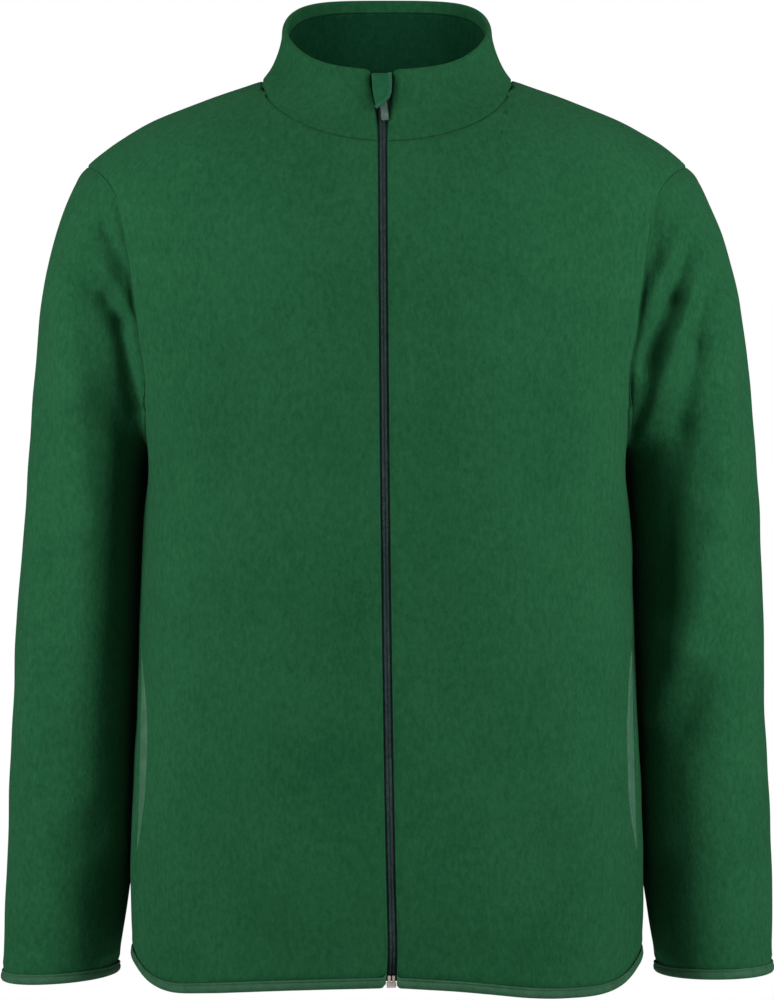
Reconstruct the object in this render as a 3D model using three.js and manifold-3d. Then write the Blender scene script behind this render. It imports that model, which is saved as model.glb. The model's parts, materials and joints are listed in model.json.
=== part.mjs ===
// A full-zip fleece jacket with a stand-up collar, filled out as if worn with nobody in it.
// Millimetres. The wearer faces -Y and +Z is up. The origin is the middle of the neck, level
// with the shoulder seam's neck end. "left" and "right" are the wearer's: left is +X.
// Each cloth piece is a thin wall: a grid of outer points, and the same points moved in.
import * as THREE from "three";
import Module from "manifold-3d";

const wasm = await Module();
wasm.setup();

const { PI, sin, cos, abs, max, min, sqrt, hypot } = Math;
const DEG = PI / 180;

// Thicknesses and gaps
const FLEECE = 2.4;
const KNIT = 1.0; // binding and pocket cloth
const SEAM = 0.15; // each piece stops this far from the seam line it shares
const DEEP_SEAM = 0.4; // and this far where a sleeve or the collar meets the body at a slant
const CLEAR = 0.3; // between layers that lie on each other

// How finely the pieces are drawn
const PANEL_COLUMNS = 14;
const NECK_COLUMNS = 7; // of those, the ones that end at the neck seam
const ARMHOLE_ROWS = 9;
const SLEEVE_ROWS = 22;
const PANEL_ROW_HEIGHTS = [
  -672, -640, -608, -598, -575, -545, -512, -480, -457, -447, -415, -380, -345, -315,
];

// Cubic interpolation in a short table. Rows are sorted by their first column.
function table(names, rows) {
  const at = {};
  names.forEach((name, k) => {
    const xs = rows.map((row) => row[0]);
    const ys = rows.map((row) => row[k]);
    const slope = (i) => {
      const a = max(i - 1, 0);
      const b = min(i + 1, rows.length - 1);
      return (ys[b] - ys[a]) / (xs[b] - xs[a]);
    };
    at[name] = (x) => {
      if (x <= xs[0]) return ys[0];
      if (x >= xs[xs.length - 1]) return ys[ys.length - 1];
      const i = xs.findIndex((edge) => edge > x) - 1;
      const h = xs[i + 1] - xs[i];
      const t = (x - xs[i]) / h;
      const t2 = t * t;
      const t3 = t2 * t;
      return (
        ys[i] * (2 * t3 - 3 * t2 + 1) +
        ys[i + 1] * (3 * t2 - 2 * t3) +
        slope(i) * h * (t3 - 2 * t2 + t) +
        slope(i + 1) * h * (t3 - t2)
      );
    };
  });
  return at;
}

// The body's level sections: half width at the side, depth to the front and to the back.
const FULLNESS = 2.3; // superellipse exponent of a section
const BODY = table(
  ["z", "half", "front", "back"],
  [
    [-712, 197, 136, 116],
    [-690, 200.5, 137, 117],
    [-620, 203, 139, 116],
    [-540, 200, 140, 112],
    [-450, 196, 140, 108],
    [-370, 194, 140, 108],
    [-300, 194, 139, 112],
    [-250, 200, 138, 117],
    [-200, 213, 135, 121],
    [-150, 223, 129, 122],
    [-100, 238, 119, 118],
    [-57, 252, 107, 108],
    [0, 262, 97, 97],
    [30, 264, 92, 90],
  ],
);

// The shoulder line, from under the neck out to the shoulder point.
const SHOULDER = table(
  ["x", "z", "y"],
  [
    [0, 27, 6],
    [50, 17, 7],
    [99, 1, 8],
    [143, -14, 9],
    [183, -30, 10],
    [212, -46, 10],
    [230, -59, 10],
    [239, -67, 10],
  ],
);
const SHOULDER_END = 239;
const ROLL_AT_NECK = 110; // height over which the front rolls off the shoulder line
const ROLL_AT_ARM = 65;
const BACK_ROLL = 0.72; // the back rolls off in a smaller height

// The neck seam is half an ellipse in front view, lower in front than behind.
const NECK = { half: 99, side: 1, front: 58, back: 11 };

// The armhole seam by its section angle, from 0 at the middle of the front to 180 behind.
const ARMPIT_Z = -292;
const SHOULDER_Z = -67;
const SHOULDER_ANGLE = Math.asin((SHOULDER_END / BODY.half(SHOULDER_Z)) ** (FULLNESS / 2)) / DEG;
const ARMHOLE = table(
  ["z", "front", "back"],
  [
    [ARMPIT_Z, 86.0, 86.0],
    [-283, 79.0, 97.0],
    [-262, 71.5, 106.5],
    [-230, 65.6, 109.5],
    [-190, 63.1, 112.8],
    [-150, 61.9, 114.5],
    [-110, 59.6, 117.6],
    [-90, 60.4, 117.4],
    [-75, 65.0, 113.6],
    [SHOULDER_Z, SHOULDER_ANGLE, 180 - SHOULDER_ANGLE],
  ],
);
const DENT = { depth: 8, y: -5, wide: 38, tall: 45 }; // hollow of the side under the arm

// The side seam's section angle, and the hem's height by section angle.
const SIDE_SEAM = table(
  ["z", "angle"],
  [
    [-712, 73],
    [-600, 73.4],
    [-520, 75.4],
    [-447, 77.6],
    [-370, 80],
    [-330, 83],
    [-292, 86],
  ],
);
const HEM = table(
  ["angle", "right", "left"],
  [
    [0, -699, -699],
    [12, -700.5, -702],
    [20, -702, -705],
    [30, -704.5, -709],
    [40, -707, -711],
    [55, -709.5, -711],
    [66, -705, -706],
    [77, -695, -696],
    [90, -691, -691],
    [115, -695, -695],
    [145, -700, -700],
    [180, -702, -702],
  ],
);

// The front zip
const ZIP_LINE = table(
  ["z", "x", "spread_right", "spread_left"], // the edges spread apart round the zip's top
  [
    [-702, 3.0, 0.5, 0.5],
    [-685, 3.8, 0.2, 0.2],
    [-670, 4.2, 0, 0],
    [-600, 2.6, 0, 0],
    [-500, 0.8, 0, 0],
    [-350, -1.2, 0, 0],
    [-200, -2.6, 0, 0],
    [-60, -3.4, 0, 0],
    [-40, -3.5, 0.2, 0.4],
    [-30, -3.5, 1.2, 1.5],
    [-20, -3.5, 3.3, 3.0],
    [-10, -3.5, 4.9, 3.8],
    [0, -3.5, 5.4, 4.0],
  ],
);
const ZIP_GAP = 3.7; // half the gap between the two front edges
const EDGE_NOSE = { in: 2.2, deep: 1.5, inner: 3.0 }; // the front edge rounds inwards

// Side-seam pockets
const POCKET = { top: -447, bottom: -608, welt: 19, slit: 1.2 };
const SIDE_ARC = 148; // mm of cloth for each radian of section angle at the side

// Soft folds as seen from the front or the back: a ridge (raise above 0) or a trough along a
// line from (x1, z1) to (x2, z2), with its half width.
const FOLD = ["x1", "z1", "x2", "z2", "wide", "raise"];
const BODY_FRONT_FOLDS = [
  [-138, -255, -168, -440, 22, 2.6],
  [-112, -300, -120, -420, 26, -1.6],
  [-150, -575, -118, -660, 24, -2.2],
  [-80, -520, -60, -690, 30, 1.6],
  [62, -500, 118, -600, 26, -2.2],
  [130, -440, 84, -640, 26, 1.8],
  [136, -190, 150, -400, 20, 1.8],
  [96, -130, 104, -330, 26, -1.6],
  [-176, -140, -170, -185, 20, -1.8],
  [-60, -110, -70, -260, 34, -1.2],
];
const BODY_BACK_FOLDS = [
  [-150, -190, -96, -420, 26, 3.2],
  [-118, -170, -60, -380, 24, -2.4],
  [150, -180, 104, -430, 26, 3.4],
  [120, -170, 70, -360, 22, -2.6],
  [-60, -430, -88, -640, 30, 2.2],
  [40, -450, 62, -660, 28, -2.4],
  [-10, -60, 8, -190, 34, 1.6],
];
const RIGHT_SLEEVE_FRONT_FOLDS = [
  [-223, -113, -203, -152, 8, -5.5],
  [-236, -126, -206, -170, 9, 3.0],
  [-242, -142, -206, -190, 11, -5.0],
  [-210, -176, -200, -252, 9, -8.0],
  [-250, -176, -232, -345, 15, 3.6],
  [-232, -345, -230, -500, 16, 3.0],
  [-262, -205, -256, -380, 11, -2.4],
  [-206, -300, -212, -470, 11, -3.0],
  [-262, -560, -226, -640, 18, -1.8],
];
const LEFT_SLEEVE_FRONT_FOLDS = [
  [206, -112, 200, -150, 9, -4.2],
  [233, -126, 204, -172, 8, 2.0],
  [238, -134, 206, -214, 10, -4.0],
  [246, -126, 212, -238, 10, 2.6],
  [212, -238, 204, -320, 10, 1.8],
  [252, -136, 226, -290, 13, -2.6],
  [226, -290, 206, -440, 14, -2.4],
  [261, -165, 258, -330, 12, 2.0],
  [258, -330, 220, -500, 15, 2.4],
  [256, -430, 238, -512, 15, -1.6],
  [270, -290, 276, -370, 9, -1.2],
];
const SLEEVE_BACK_FOLDS = [
  [222, -120, 206, -170, 10, -5.0],
  [244, -128, 208, -205, 10, 4.0],
  [250, -150, 212, -250, 12, -5.0],
  [262, -180, 240, -360, 15, 4.2],
  [236, -300, 214, -420, 14, -3.6],
  [262, -380, 232, -470, 15, 3.4],
  [248, -470, 218, -540, 14, -3.0],
];

// The sleeves, ring by ring from the armhole to the cuff: where the ring's outer and inner
// points lie, and how deep it is. The two sleeves differ a little: "left_up" is how much higher
// the left one's outer point is.
const SLEEVE = table(
  [
    "row", "outer_right", "outer_left", "outer_z", "left_up", "inner_x", "inner_z", "front", "back",
    "outer_y", "inner_y",
  ],
  [
    [0, 239, 239, -67, 0, 184, -292, -66, 74, 10, -12],
    [1, 256, 258.5, -90, 0, 191, -297, -69, 79, 9, -8],
    [2, 267.5, 271, -125, 0, 191.4, -305, -72, 82, 8, 16],
    [3, 274, 279.5, -175, 0, 191, -320, -74, 82, 7, 32],
    [4, 279.8, 287.5, -240, 0, 193.6, -348, -73, 78, 6, 33],
    [5, 284.5, 293.5, -320, 0, 195, -390, -70, 72, 4, 31],
    [6, 291.5, 297, -410, 0, 197, -452, -66, 64, 2, 29],
    [7, 296.6, 299.5, -510, 0, 200.5, -532, -61, 54, 0, 28],
    [8, 300, 303.8, -612, 1.5, 204, -620, -56, 44, -4, 24],
    [9, 303, 303.7, -709.5, 7, 215, -707, -51, 36, -7, 16],
  ],
);
const LAST_RING = 9;
const SLEEVE_ROUND = { across: 0.96, deep: 0.94 }; // how square a ring is each way
const SLEEVE_BLEND = 3.2; // rings over which the armhole's own shape fades out
const SIDE_OF_FOLD = 0.5; // a sleeve's folds fade out as its surface turns to the side
const FOLDS_FULL = 1.7; // the ring from which a sleeve's folds are at their full height

// The collar's rim climbs evenly from the zip to the sides. Behind, it climbs faster at first,
// and its plan is squarer than an ellipse.
const RIM = { half: 83, mid_y: -6, deep: 80, side_z: 40.5, climb: 0.42, dip: 7.4 };
const RIM_BEHIND = { rise: 34.4, full: 0.5, square: 0.76 };
const COLLAR_FLARE = 1.8;
const COLLAR_FULL = 2 * FLEECE + CLEAR;
const CORNER = { drop: 4.2, turn: 0.075 }; // the collar's rounded corners at the zip

const clamp = (v, a, b) => min(max(v, a), b);
const mix = (a, b, t) => a + (b - a) * t;
const power = (v, p) => Math.sign(v) * abs(v) ** p;
function smooth(a, b, v) {
  const t = clamp((v - a) / (b - a), 0, 1);
  return t * t * (3 - 2 * t);
}

// The sum of the folds at a point seen from the front or the back.
function foldHeight(folds, x, z) {
  let sum = 0;
  for (const row of folds) {
    const f = Object.fromEntries(FOLD.map((name, k) => [name, row[k]]));
    const dx = f.x2 - f.x1;
    const dz = f.z2 - f.z1;
    const t = clamp(((x - f.x1) * dx + (z - f.z1) * dz) / (dx * dx + dz * dz), 0, 1);
    const away = hypot(x - f.x1 - t * dx, z - f.z1 - t * dz) / f.wide;
    sum += f.raise * Math.exp(-away * away);
  }
  return sum;
}

const shoulderRoll = (x, angle) =>
  mix(ROLL_AT_NECK, ROLL_AT_ARM, min(abs(x) / SHOULDER_END, 1)) * (cos(angle) > 0 ? 1 : BACK_ROLL);

// How far a height lies round the shoulder's roll: 0 on the shoulder line, PI/2 at its foot.
function rollOf(x, angle, z) {
  const t = (SHOULDER.z(abs(x)) - z) / shoulderRoll(x, angle);
  return t < 1 ? Math.acos(1 - max(t, 0)) : PI / 2 + t - 1;
}
function heightAt(x, angle, roll) {
  const t = roll < PI / 2 ? 1 - cos(roll) : 1 + roll - PI / 2;
  return SHOULDER.z(abs(x)) - t * shoulderRoll(x, angle);
}

const widthAt = (angle, z) => BODY.half(z) * power(sin(angle), 2 / FULLNESS);
const angleAt = (x, z) => Math.asin(min(power(x / BODY.half(z), FULLNESS / 2), 1));

// A point of the smooth body, on the +X side: a superellipse section, drawn in to the
// shoulder line over the shoulder's roll, and hollowed under the arm.
function smoothBody(angle, z) {
  const x = widthAt(angle, z);
  const depth = cos(angle) > 0 ? BODY.front(z) : BODY.back(z);
  const section = -depth * power(cos(angle), 2 / FULLNESS);
  const ridge = SHOULDER.y(abs(x));
  const roll = min(rollOf(x, angle, z), PI / 2);
  const y = ridge + (section - ridge) * sin(roll);
  const dent =
    DENT.depth *
    Math.exp(-(((y - DENT.y) / DENT.wide) ** 2) - ((z - ARMPIT_Z) / DENT.tall) ** 2);
  return new THREE.Vector3(x - dent * smooth(0.9, 1, x / BODY.half(z)), y, z);
}

// The body with its folds, on one side (1 is left, -1 is right).
const BACK_OF_FOLD = 0.35;
function body(side, angle, z) {
  const p = smoothBody(angle, z);
  const step = 0.4 * DEG;
  const rise = 1.5;
  const across = smoothBody(angle + step, z).sub(smoothBody(angle - step, z));
  const up = smoothBody(angle, z + rise).sub(smoothBody(angle, z - rise));
  const n = across.cross(up).normalize();
  p.x *= side;
  n.x *= side;
  const folds = n.y < 0 ? BODY_FRONT_FOLDS : BODY_BACK_FOLDS;
  const inside = smooth(0, 30, SHOULDER.z(abs(p.x)) - z);
  return p.addScaledVector(n, foldHeight(folds, p.x, z) * smooth(0, BACK_OF_FOLD, abs(n.y)) * inside);
}

function zipEdge(side, z) {
  const spread = side < 0 ? ZIP_LINE.spread_right(z) : ZIP_LINE.spread_left(z);
  return ZIP_GAP + spread + side * ZIP_LINE.x(z);
}

// The neck seam: turn is 0 at the front, PI/2 at the shoulder, PI behind.
function neckPoint(turn) {
  const rise = cos(turn) > 0 ? -NECK.front * cos(turn) : NECK.back * cos(turn) ** 2;
  return { x: NECK.half * sin(turn), z: NECK.side + rise };
}

// The armhole seam at a share of its length from the armpit up to the shoulder.
function armholeCurve(face) {
  const steps = 60;
  const line = [];
  for (let i = 0; i <= steps; i++) {
    const z = mix(ARMPIT_Z, SHOULDER_Z, (1 - cos((PI * i) / steps)) / 2);
    line.push({ z, angle: ARMHOLE[face](z) * DEG });
  }
  let run = 0;
  line.forEach((at, i) => {
    if (i) run += smoothBody(at.angle, at.z).distanceTo(smoothBody(line[i - 1].angle, line[i - 1].z));
    at.run = run;
  });
  return (share) => {
    const want = clamp(share, 0, 1) * run;
    const i = max(line.findIndex((at) => at.run >= want - 1e-9), 1);
    const t = (want - line[i - 1].run) / (line[i].run - line[i - 1].run);
    const z = mix(line[i - 1].z, line[i].z, t);
    return { z, angle: ARMHOLE[face](z) * DEG };
  };
}
const armhole = { front: armholeCurve("front"), back: armholeCurve("back") };

// The straight rows below the armpit. A hem point's height and angle are found in a few steps,
// because each depends on the other.
const LOW_ROWS = PANEL_ROW_HEIGHTS.length + 1;
const HEM_STEPS = 4;

function lowRowHeight(side, row, angle) {
  const hem = HEM[side < 0 ? "right" : "left"](angle / DEG);
  if (row === 0) return hem;
  return row === LOW_ROWS ? ARMPIT_Z : PANEL_ROW_HEIGHTS[row - 1];
}

// How far the pocket's welt eats into the front panel, as an angle.
function weltAngle(z) {
  const t = clamp((z - POCKET.bottom) / (POCKET.top - POCKET.bottom), 0, 1);
  return ((POCKET.welt * sin(PI * t) ** 0.8) / SIDE_ARC) * (t > 0 && t < 1 ? 1 : 0);
}

const sideSeam = (z) => SIDE_SEAM.angle(z) * DEG;

// One point of a panel above the armpit. Its angle, and its rise from the armpit's level (0)
// to the shoulder line (1), are blended between the panel's four edges.
function upperPoint(face, side, u, w, start) {
  const rise = (x, angle, z) => 1 - rollOf(x, angle, z) / rollOf(x, angle, ARMPIT_Z);
  const pack = (x, angle, z) => ({ angle, rise: rise(x, angle, z) });
  const turned = (a) => (face === "front" ? a : PI - a);
  const centreX = (z) => (face === "front" ? start(z) : 0);
  const seamTurn = Math.asin(centreX(neckPoint(turned(0)).z) / NECK.half);
  const centre = (share) => {
    const z = mix(ARMPIT_Z, neckPoint(turned(seamTurn)).z, share);
    const x = centreX(z);
    return pack(x, turned(angleAt(x, z)), z);
  };
  const low = (share) => {
    const first = turned(angleAt(centreX(ARMPIT_Z), ARMPIT_Z));
    const angle = mix(first, sideSeam(ARMPIT_Z), share);
    return pack(widthAt(angle, ARMPIT_Z), angle, ARMPIT_Z);
  };
  const edge = (share) => {
    const at = armhole[face](share);
    return pack(widthAt(at.angle, at.z), at.angle, at.z);
  };
  const split = NECK_COLUMNS / PANEL_COLUMNS;
  const top = (share) => {
    if (share < split) {
      const at = neckPoint(turned(mix(seamTurn, PI / 2, share / split)));
      return pack(at.x, turned(angleAt(at.x, at.z)), at.z);
    }
    const x = mix(NECK.half, SHOULDER_END, (share - split) / (1 - split));
    return { angle: turned(angleAt(x, SHOULDER.z(x))), rise: 1 };
  };
  const blend = (key) =>
    mix(low(u)[key], top(u)[key], w) +
    mix(centre(w)[key], edge(w)[key], u) -
    mix(mix(low(0)[key], low(1)[key], u), mix(top(0)[key], top(1)[key], u), w);
  const angle = blend("angle");
  const drop = max(1 - blend("rise"), 0);
  let z = SHOULDER_Z;
  for (let i = 0; i < 12; i++) {
    const x = widthAt(angle, z);
    z = heightAt(x, angle, drop * rollOf(x, angle, ARMPIT_Z));
  }
  return body(side, angle, z);
}

// The columns of a front: the zip edge, a narrow column behind it, then even ones.
function frontGrid(side) {
  const rows = [];
  const starts = [(z) => zipEdge(side, z), (z) => zipEdge(side, z) + EDGE_NOSE.in];
  for (let r = 0; r <= LOW_ROWS + ARMHOLE_ROWS; r++) {
    const row = [];
    for (let c = -1; c <= PANEL_COLUMNS; c++) {
      const start = starts[c < 0 ? 0 : 1];
      const u = max(c, 0) / PANEL_COLUMNS;
      if (r <= LOW_ROWS) {
        const welt = weltAngle(PANEL_ROW_HEIGHTS[r - 1] ?? 0);
        let z = lowRowHeight(side, r, 0);
        let angle = 0;
        for (let i = 0; i < HEM_STEPS; i++) {
          angle = mix(angleAt(start(z), z), sideSeam(z) - welt, u);
          z = lowRowHeight(side, r, angle);
        }
        row.push(body(side, angle, z));
      } else {
        row.push(upperPoint("front", side, u, (r - LOW_ROWS) / ARMHOLE_ROWS, start));
      }
    }
    rows.push(row);
  }
  return { rows };
}

function backGrid() {
  const rows = [];
  for (let r = 0; r <= LOW_ROWS + ARMHOLE_ROWS; r++) {
    const row = [];
    for (let c = -PANEL_COLUMNS; c <= PANEL_COLUMNS; c++) {
      const side = c < 0 ? -1 : 1;
      const u = abs(c) / PANEL_COLUMNS;
      if (r <= LOW_ROWS) {
        let z = lowRowHeight(side, r, PI);
        let angle = PI;
        for (let i = 0; i < HEM_STEPS; i++) {
          angle = mix(PI, sideSeam(z), u);
          z = lowRowHeight(side, r, angle);
        }
        row.push(body(side, angle, z));
      } else {
        row.push(upperPoint("back", side, u, (r - LOW_ROWS) / ARMHOLE_ROWS, () => 0));
      }
    }
    rows.push(row);
  }
  return { rows };
}

// A point of the armhole seam: turn runs from the shoulder (0) down the front to the armpit
// (PI) and up the back (2 PI).
function armholePoint(side, turn) {
  const face = turn <= PI ? "front" : "back";
  const at = armhole[face](abs(turn - PI) / PI);
  return body(side, at.angle, at.z);
}

// A ring of a sleeve with no folds. Each ring is an ellipse through its outer and inner
// points, and the first rings keep part of the armhole's own shape.
function smoothSleeve(side, row, turn) {
  const get = (name) => SLEEVE[name](row);
  const [outerX, up] = side < 0 ? [get("outer_right"), 0] : [get("outer_left"), get("left_up")];
  const outer = new THREE.Vector3(outerX, get("outer_y"), get("outer_z") + up);
  const inner = new THREE.Vector3(get("inner_x"), get("inner_y"), get("inner_z"));
  const centre = outer.clone().add(inner).multiplyScalar(0.5);
  const half = outer.clone().sub(inner).multiplyScalar(0.5);
  const p = centre.clone().addScaledVector(half, power(cos(turn), SLEEVE_ROUND.across));
  const reach = sin(turn) > 0 ? get("front") - centre.y : get("back") - centre.y;
  p.y += reach * abs(sin(turn)) ** SLEEVE_ROUND.deep;
  p.x *= side;
  const own = 1 - smooth(0, SLEEVE_BLEND, row);
  return own > 0 ? p.lerp(armholePoint(side, turn), own) : p;
}

const SLEEVE_STEP = { turn: 0.02, row: 0.05 }; // small steps that give the sleeve's slope
const FRONT_SLEEVE_FOLDS = { "-1": RIGHT_SLEEVE_FRONT_FOLDS, 1: LEFT_SLEEVE_FRONT_FOLDS };

function sleevePoint(side, row, turn) {
  const p = smoothSleeve(side, row, turn);
  if (row <= 0) return p;
  const { turn: aside, row: ahead } = SLEEVE_STEP;
  const across = smoothSleeve(side, row, turn + aside).sub(smoothSleeve(side, row, turn - aside));
  const along = smoothSleeve(side, min(row + ahead, LAST_RING), turn).sub(
    smoothSleeve(side, max(row - ahead, 0), turn),
  );
  const n = across.cross(along).normalize().multiplyScalar(side);
  const front = foldHeight(FRONT_SLEEVE_FOLDS[side], p.x, p.z);
  const back = foldHeight(SLEEVE_BACK_FOLDS, abs(p.x), p.z);
  const height = (n.y < 0 ? front : back) * smooth(0, SIDE_OF_FOLD, abs(n.y));
  return p.addScaledVector(n, height * smooth(0.2, FOLDS_FULL, row));
}

function sleeveGrid(side) {
  const rows = [];
  const around = 2 * ARMHOLE_ROWS;
  for (let r = 0; r <= SLEEVE_ROWS; r++) {
    const at = (LAST_RING * r) / SLEEVE_ROWS;
    const row = [];
    for (let c = 0; c < around; c++) row.push(sleevePoint(side, at, (2 * PI * c) / around));
    rows.push(row);
  }
  return { rows, closed: true };
}

// The collar's outer face: turn as on the neck seam, up from 0 at the seam to 1 at the rim.
function collarPoint(side, turn, up) {
  const seam = neckPoint(turn);
  const angle = angleAt(seam.x, seam.z);
  const foot = body(side, cos(turn) > 0 ? angle : PI - angle, seam.z);
  const first = Math.asin(zipEdge(side, neckPoint(0).z) / NECK.half);
  const y = RIM.mid_y - RIM.deep * cos(turn);
  const behind = max(-cos(turn), 0);
  const rise = RIM_BEHIND.rise * behind * (1 + RIM_BEHIND.full * (1 - behind));
  const fromZip = clamp((turn - first) / CORNER.turn, 0, 1);
  const corner = CORNER.drop * (1 - sqrt(1 - (1 - fromZip) ** 2));
  const climb = RIM.climb * min(y, RIM.mid_y);
  const top = RIM.side_z + climb + rise - RIM.dip * smooth(20, 80, -y) - corner;
  const z = mix(foot.z, top, up);
  const slide = 1 - (1 - up) ** COLLAR_FLARE;
  const edge = zipEdge(side, z) - mix(NECK.half, RIM.half, slide) * sin(first);
  const rimX = RIM.half * sin(turn) ** (behind ? RIM_BEHIND.square : 1);
  const x = mix(seam.x, rimX, slide) + edge * (1 - smooth(first, 0.4, turn));
  return new THREE.Vector3(side * x, mix(foot.y, y, slide), z);
}

const COLLAR_ROWS = [0, 0.13, 0.3, 0.5, 0.7, 0.86, 1];

function collarGrid() {
  const seam = neckPoint(0).z;
  const half = (side) => {
    const first = Math.asin(zipEdge(side, seam) / NECK.half);
    const second = Math.asin((zipEdge(side, seam) + EDGE_NOSE.in) / NECK.half);
    const turns = [first];
    for (let c = 0; c <= NECK_COLUMNS; c++) turns.push(mix(second, PI / 2, c / NECK_COLUMNS));
    for (let c = NECK_COLUMNS - 1; c >= 0; c--) turns.push(PI - ((PI / 2) * c) / NECK_COLUMNS);
    return turns.map((turn) => ({ side, turn }));
  };
  const around = [...half(-1), ...half(1).slice(0, -1).reverse()];
  return { rows: COLLAR_ROWS.map((up) => around.map((a) => collarPoint(a.side, a.turn, up))) };
}

// Normals of all the cloth at once, so that pieces that share a seam share its normals. The
// body, a sleeve and the collar each count once where they meet.
const SAME_POINT = 0.1;
function clothNormals(grids) {
  const spots = [];
  const spotAt = (p) => {
    let spot = spots.find((s) => s.p.distanceTo(p) < SAME_POINT);
    if (!spot) spots.push((spot = { p, parts: {} }));
    return spot;
  };
  for (const grid of grids) {
    const { rows, closed, flip, part } = grid;
    const wide = rows[0].length;
    grid.spots = rows.map((row) => row.map(spotAt));
    for (let r = 0; r + 1 < rows.length; r++)
      for (let c = 0; c < (closed ? wide : wide - 1); c++) {
        const d = (c + 1) % wide;
        const one = rows[r + 1][d].clone().sub(rows[r][c]);
        const n = one.cross(rows[r + 1][c].clone().sub(rows[r][d]));
        if (flip) n.negate();
        for (const spot of [grid.spots[r][c], grid.spots[r][d], grid.spots[r + 1][d], grid.spots[r + 1][c]])
          (spot.parts[part] ??= new THREE.Vector3()).add(n);
      }
  }
  const normalOf = ({ parts }) => {
    const sum = new THREE.Vector3();
    for (const n of Object.values(parts)) sum.add(n.clone().normalize());
    return sum.normalize();
  };
  for (const grid of grids) grid.normals = grid.spots.map((row) => row.map(normalOf));
}

// Draws an edge point back from its seam, square to the seam, until it is the wanted distance
// from the plane through the seam and its normal.
const LEAST_SQUARE = 0.25; // an edge at a slant moves at most four times that distance
function drawnBack(p, before, after, inward, normal, far) {
  const along = after.clone().sub(before).normalize();
  const to = inward.clone().sub(p);
  to.addScaledVector(along, -to.dot(along)).normalize();
  const square = along.clone().cross(normal).normalize();
  return to.multiplyScalar(far / max(abs(to.dot(square)), LEAST_SQUARE));
}

// A closed wall over a grid: outer and inner points at their offsets along the normals, with
// each edge drawn back from its seam line.
function wall(grid, { offsets, back = {} } = {}) {
  const { rows, normals, closed, flip } = grid;
  const tall = rows.length;
  const wide = rows[0].length;
  const pull = { first: SEAM, last: SEAM, start: SEAM, end: SEAM, ...back };
  const edge = rows.map((row, r) =>
    row.map((p, c) => {
      const q = p.clone();
      const n = normals[r][c];
      const [west, east] = closed
        ? [row[(c + wide - 1) % wide], row[(c + 1) % wide]]
        : [row[max(c - 1, 0)], row[min(c + 1, wide - 1)]];
      const [south, north] = [rows[max(r - 1, 0)][c], rows[min(r + 1, tall - 1)][c]];
      if (r === 0) q.add(drawnBack(p, west, east, north, n, pull.first));
      if (r === tall - 1) q.add(drawnBack(p, west, east, south, n, pull.last));
      if (!closed && c === 0) q.add(drawnBack(p, south, north, east, n, pull.start));
      if (!closed && c === wide - 1) q.add(drawnBack(p, south, north, west, n, pull.end));
      return q;
    }),
  );
  const layer = (k) =>
    edge.map((row, r) =>
      row.map((p, c) => p.clone().addScaledVector(normals[r][c], (offsets?.(r, c) ?? [0, -FLEECE])[k])),
    );
  return shell(layer(0), layer(1), closed, flip);
}

// Joins two layers of points into one closed mesh.
const EDGE_SLANT = 0.37; // a slanted height, so that no two corners of an edge rank the same
function shell(outer, inner, closed, flip) {
  const tall = outer.length;
  const wide = outer[0].length;
  const points = [...outer.flat(), ...inner.flat()];
  const at = (k, r, c) => k * tall * wide + r * wide + (c % wide);
  const faces = [];
  const quad = (a, b, c, d) => {
    if (points[a].distanceTo(points[c]) <= points[b].distanceTo(points[d])) faces.push(a, b, c, a, c, d);
    else faces.push(a, b, d, b, c, d);
  };
  // The cut edge between two outer points, split the same way on both sides of a seam.
  const edgeQuad = (r1, c1, r2, c2) => {
    const [a, b, c, d] = [at(0, r1, c1), at(0, r2, c2), at(1, r2, c2), at(1, r1, c1)];
    const lead = (p) => p.z + EDGE_SLANT * p.y;
    if (lead(points[a]) > lead(points[b])) faces.push(a, b, c, a, c, d);
    else faces.push(a, b, d, b, c, d);
  };
  const across = closed ? wide : wide - 1;
  for (let r = 0; r + 1 < tall; r++)
    for (let c = 0; c < across; c++) {
      quad(at(0, r, c), at(0, r, c + 1), at(0, r + 1, c + 1), at(0, r + 1, c));
      quad(at(1, r, c), at(1, r + 1, c), at(1, r + 1, c + 1), at(1, r, c + 1));
    }
  for (let c = 0; c < across; c++) {
    edgeQuad(0, c + 1, 0, c);
    edgeQuad(tall - 1, c, tall - 1, c + 1);
  }
  for (let r = 0; !closed && r + 1 < tall; r++) {
    edgeQuad(r, 0, r + 1, 0);
    edgeQuad(r + 1, wide - 1, r, wide - 1);
  }
  return meshOf(points, faces, flip);
}

function meshOf(points, faces, flip) {
  if (flip) for (let i = 0; i < faces.length; i += 3) [faces[i], faces[i + 1]] = [faces[i + 1], faces[i]];
  const geometry = new THREE.BufferGeometry().setFromPoints(points);
  geometry.setIndex(faces);
  return geometry;
}

// A strip of constant section along a line of frames. A frame holds an origin and two
// directions, and the section is a loop of [along first, along second] pairs.
function sweep(frames, section, closed) {
  const count = section.length;
  const points = frames.flatMap((f) =>
    section.map(([a, b]) => f.origin.clone().addScaledVector(f.first, a).addScaledVector(f.second, b)),
  );
  const faces = [];
  for (let i = 0; i < (closed ? frames.length : frames.length - 1); i++)
    for (let k = 0; k < count; k++) {
      const here = i * count;
      const there = ((i + 1) % frames.length) * count;
      const next = (k + 1) % count;
      faces.push(here + k, here + next, there + next, here + k, there + next, there + k);
    }
  if (!closed) {
    const flat = section.map(([a, b]) => new THREE.Vector2(a, b));
    const end = (frames.length - 1) * count;
    const turned = THREE.ShapeUtils.isClockWise(flat);
    for (const [a, b, c] of THREE.ShapeUtils.triangulateShape(turned ? flat.toReversed() : flat, [])) {
      const [i, j, k] = turned ? [count - 1 - a, count - 1 - c, count - 1 - b] : [a, b, c];
      faces.push(i, k, j, end + i, end + j, end + k);
    }
  }
  return meshOf(points, faces);
}

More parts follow.
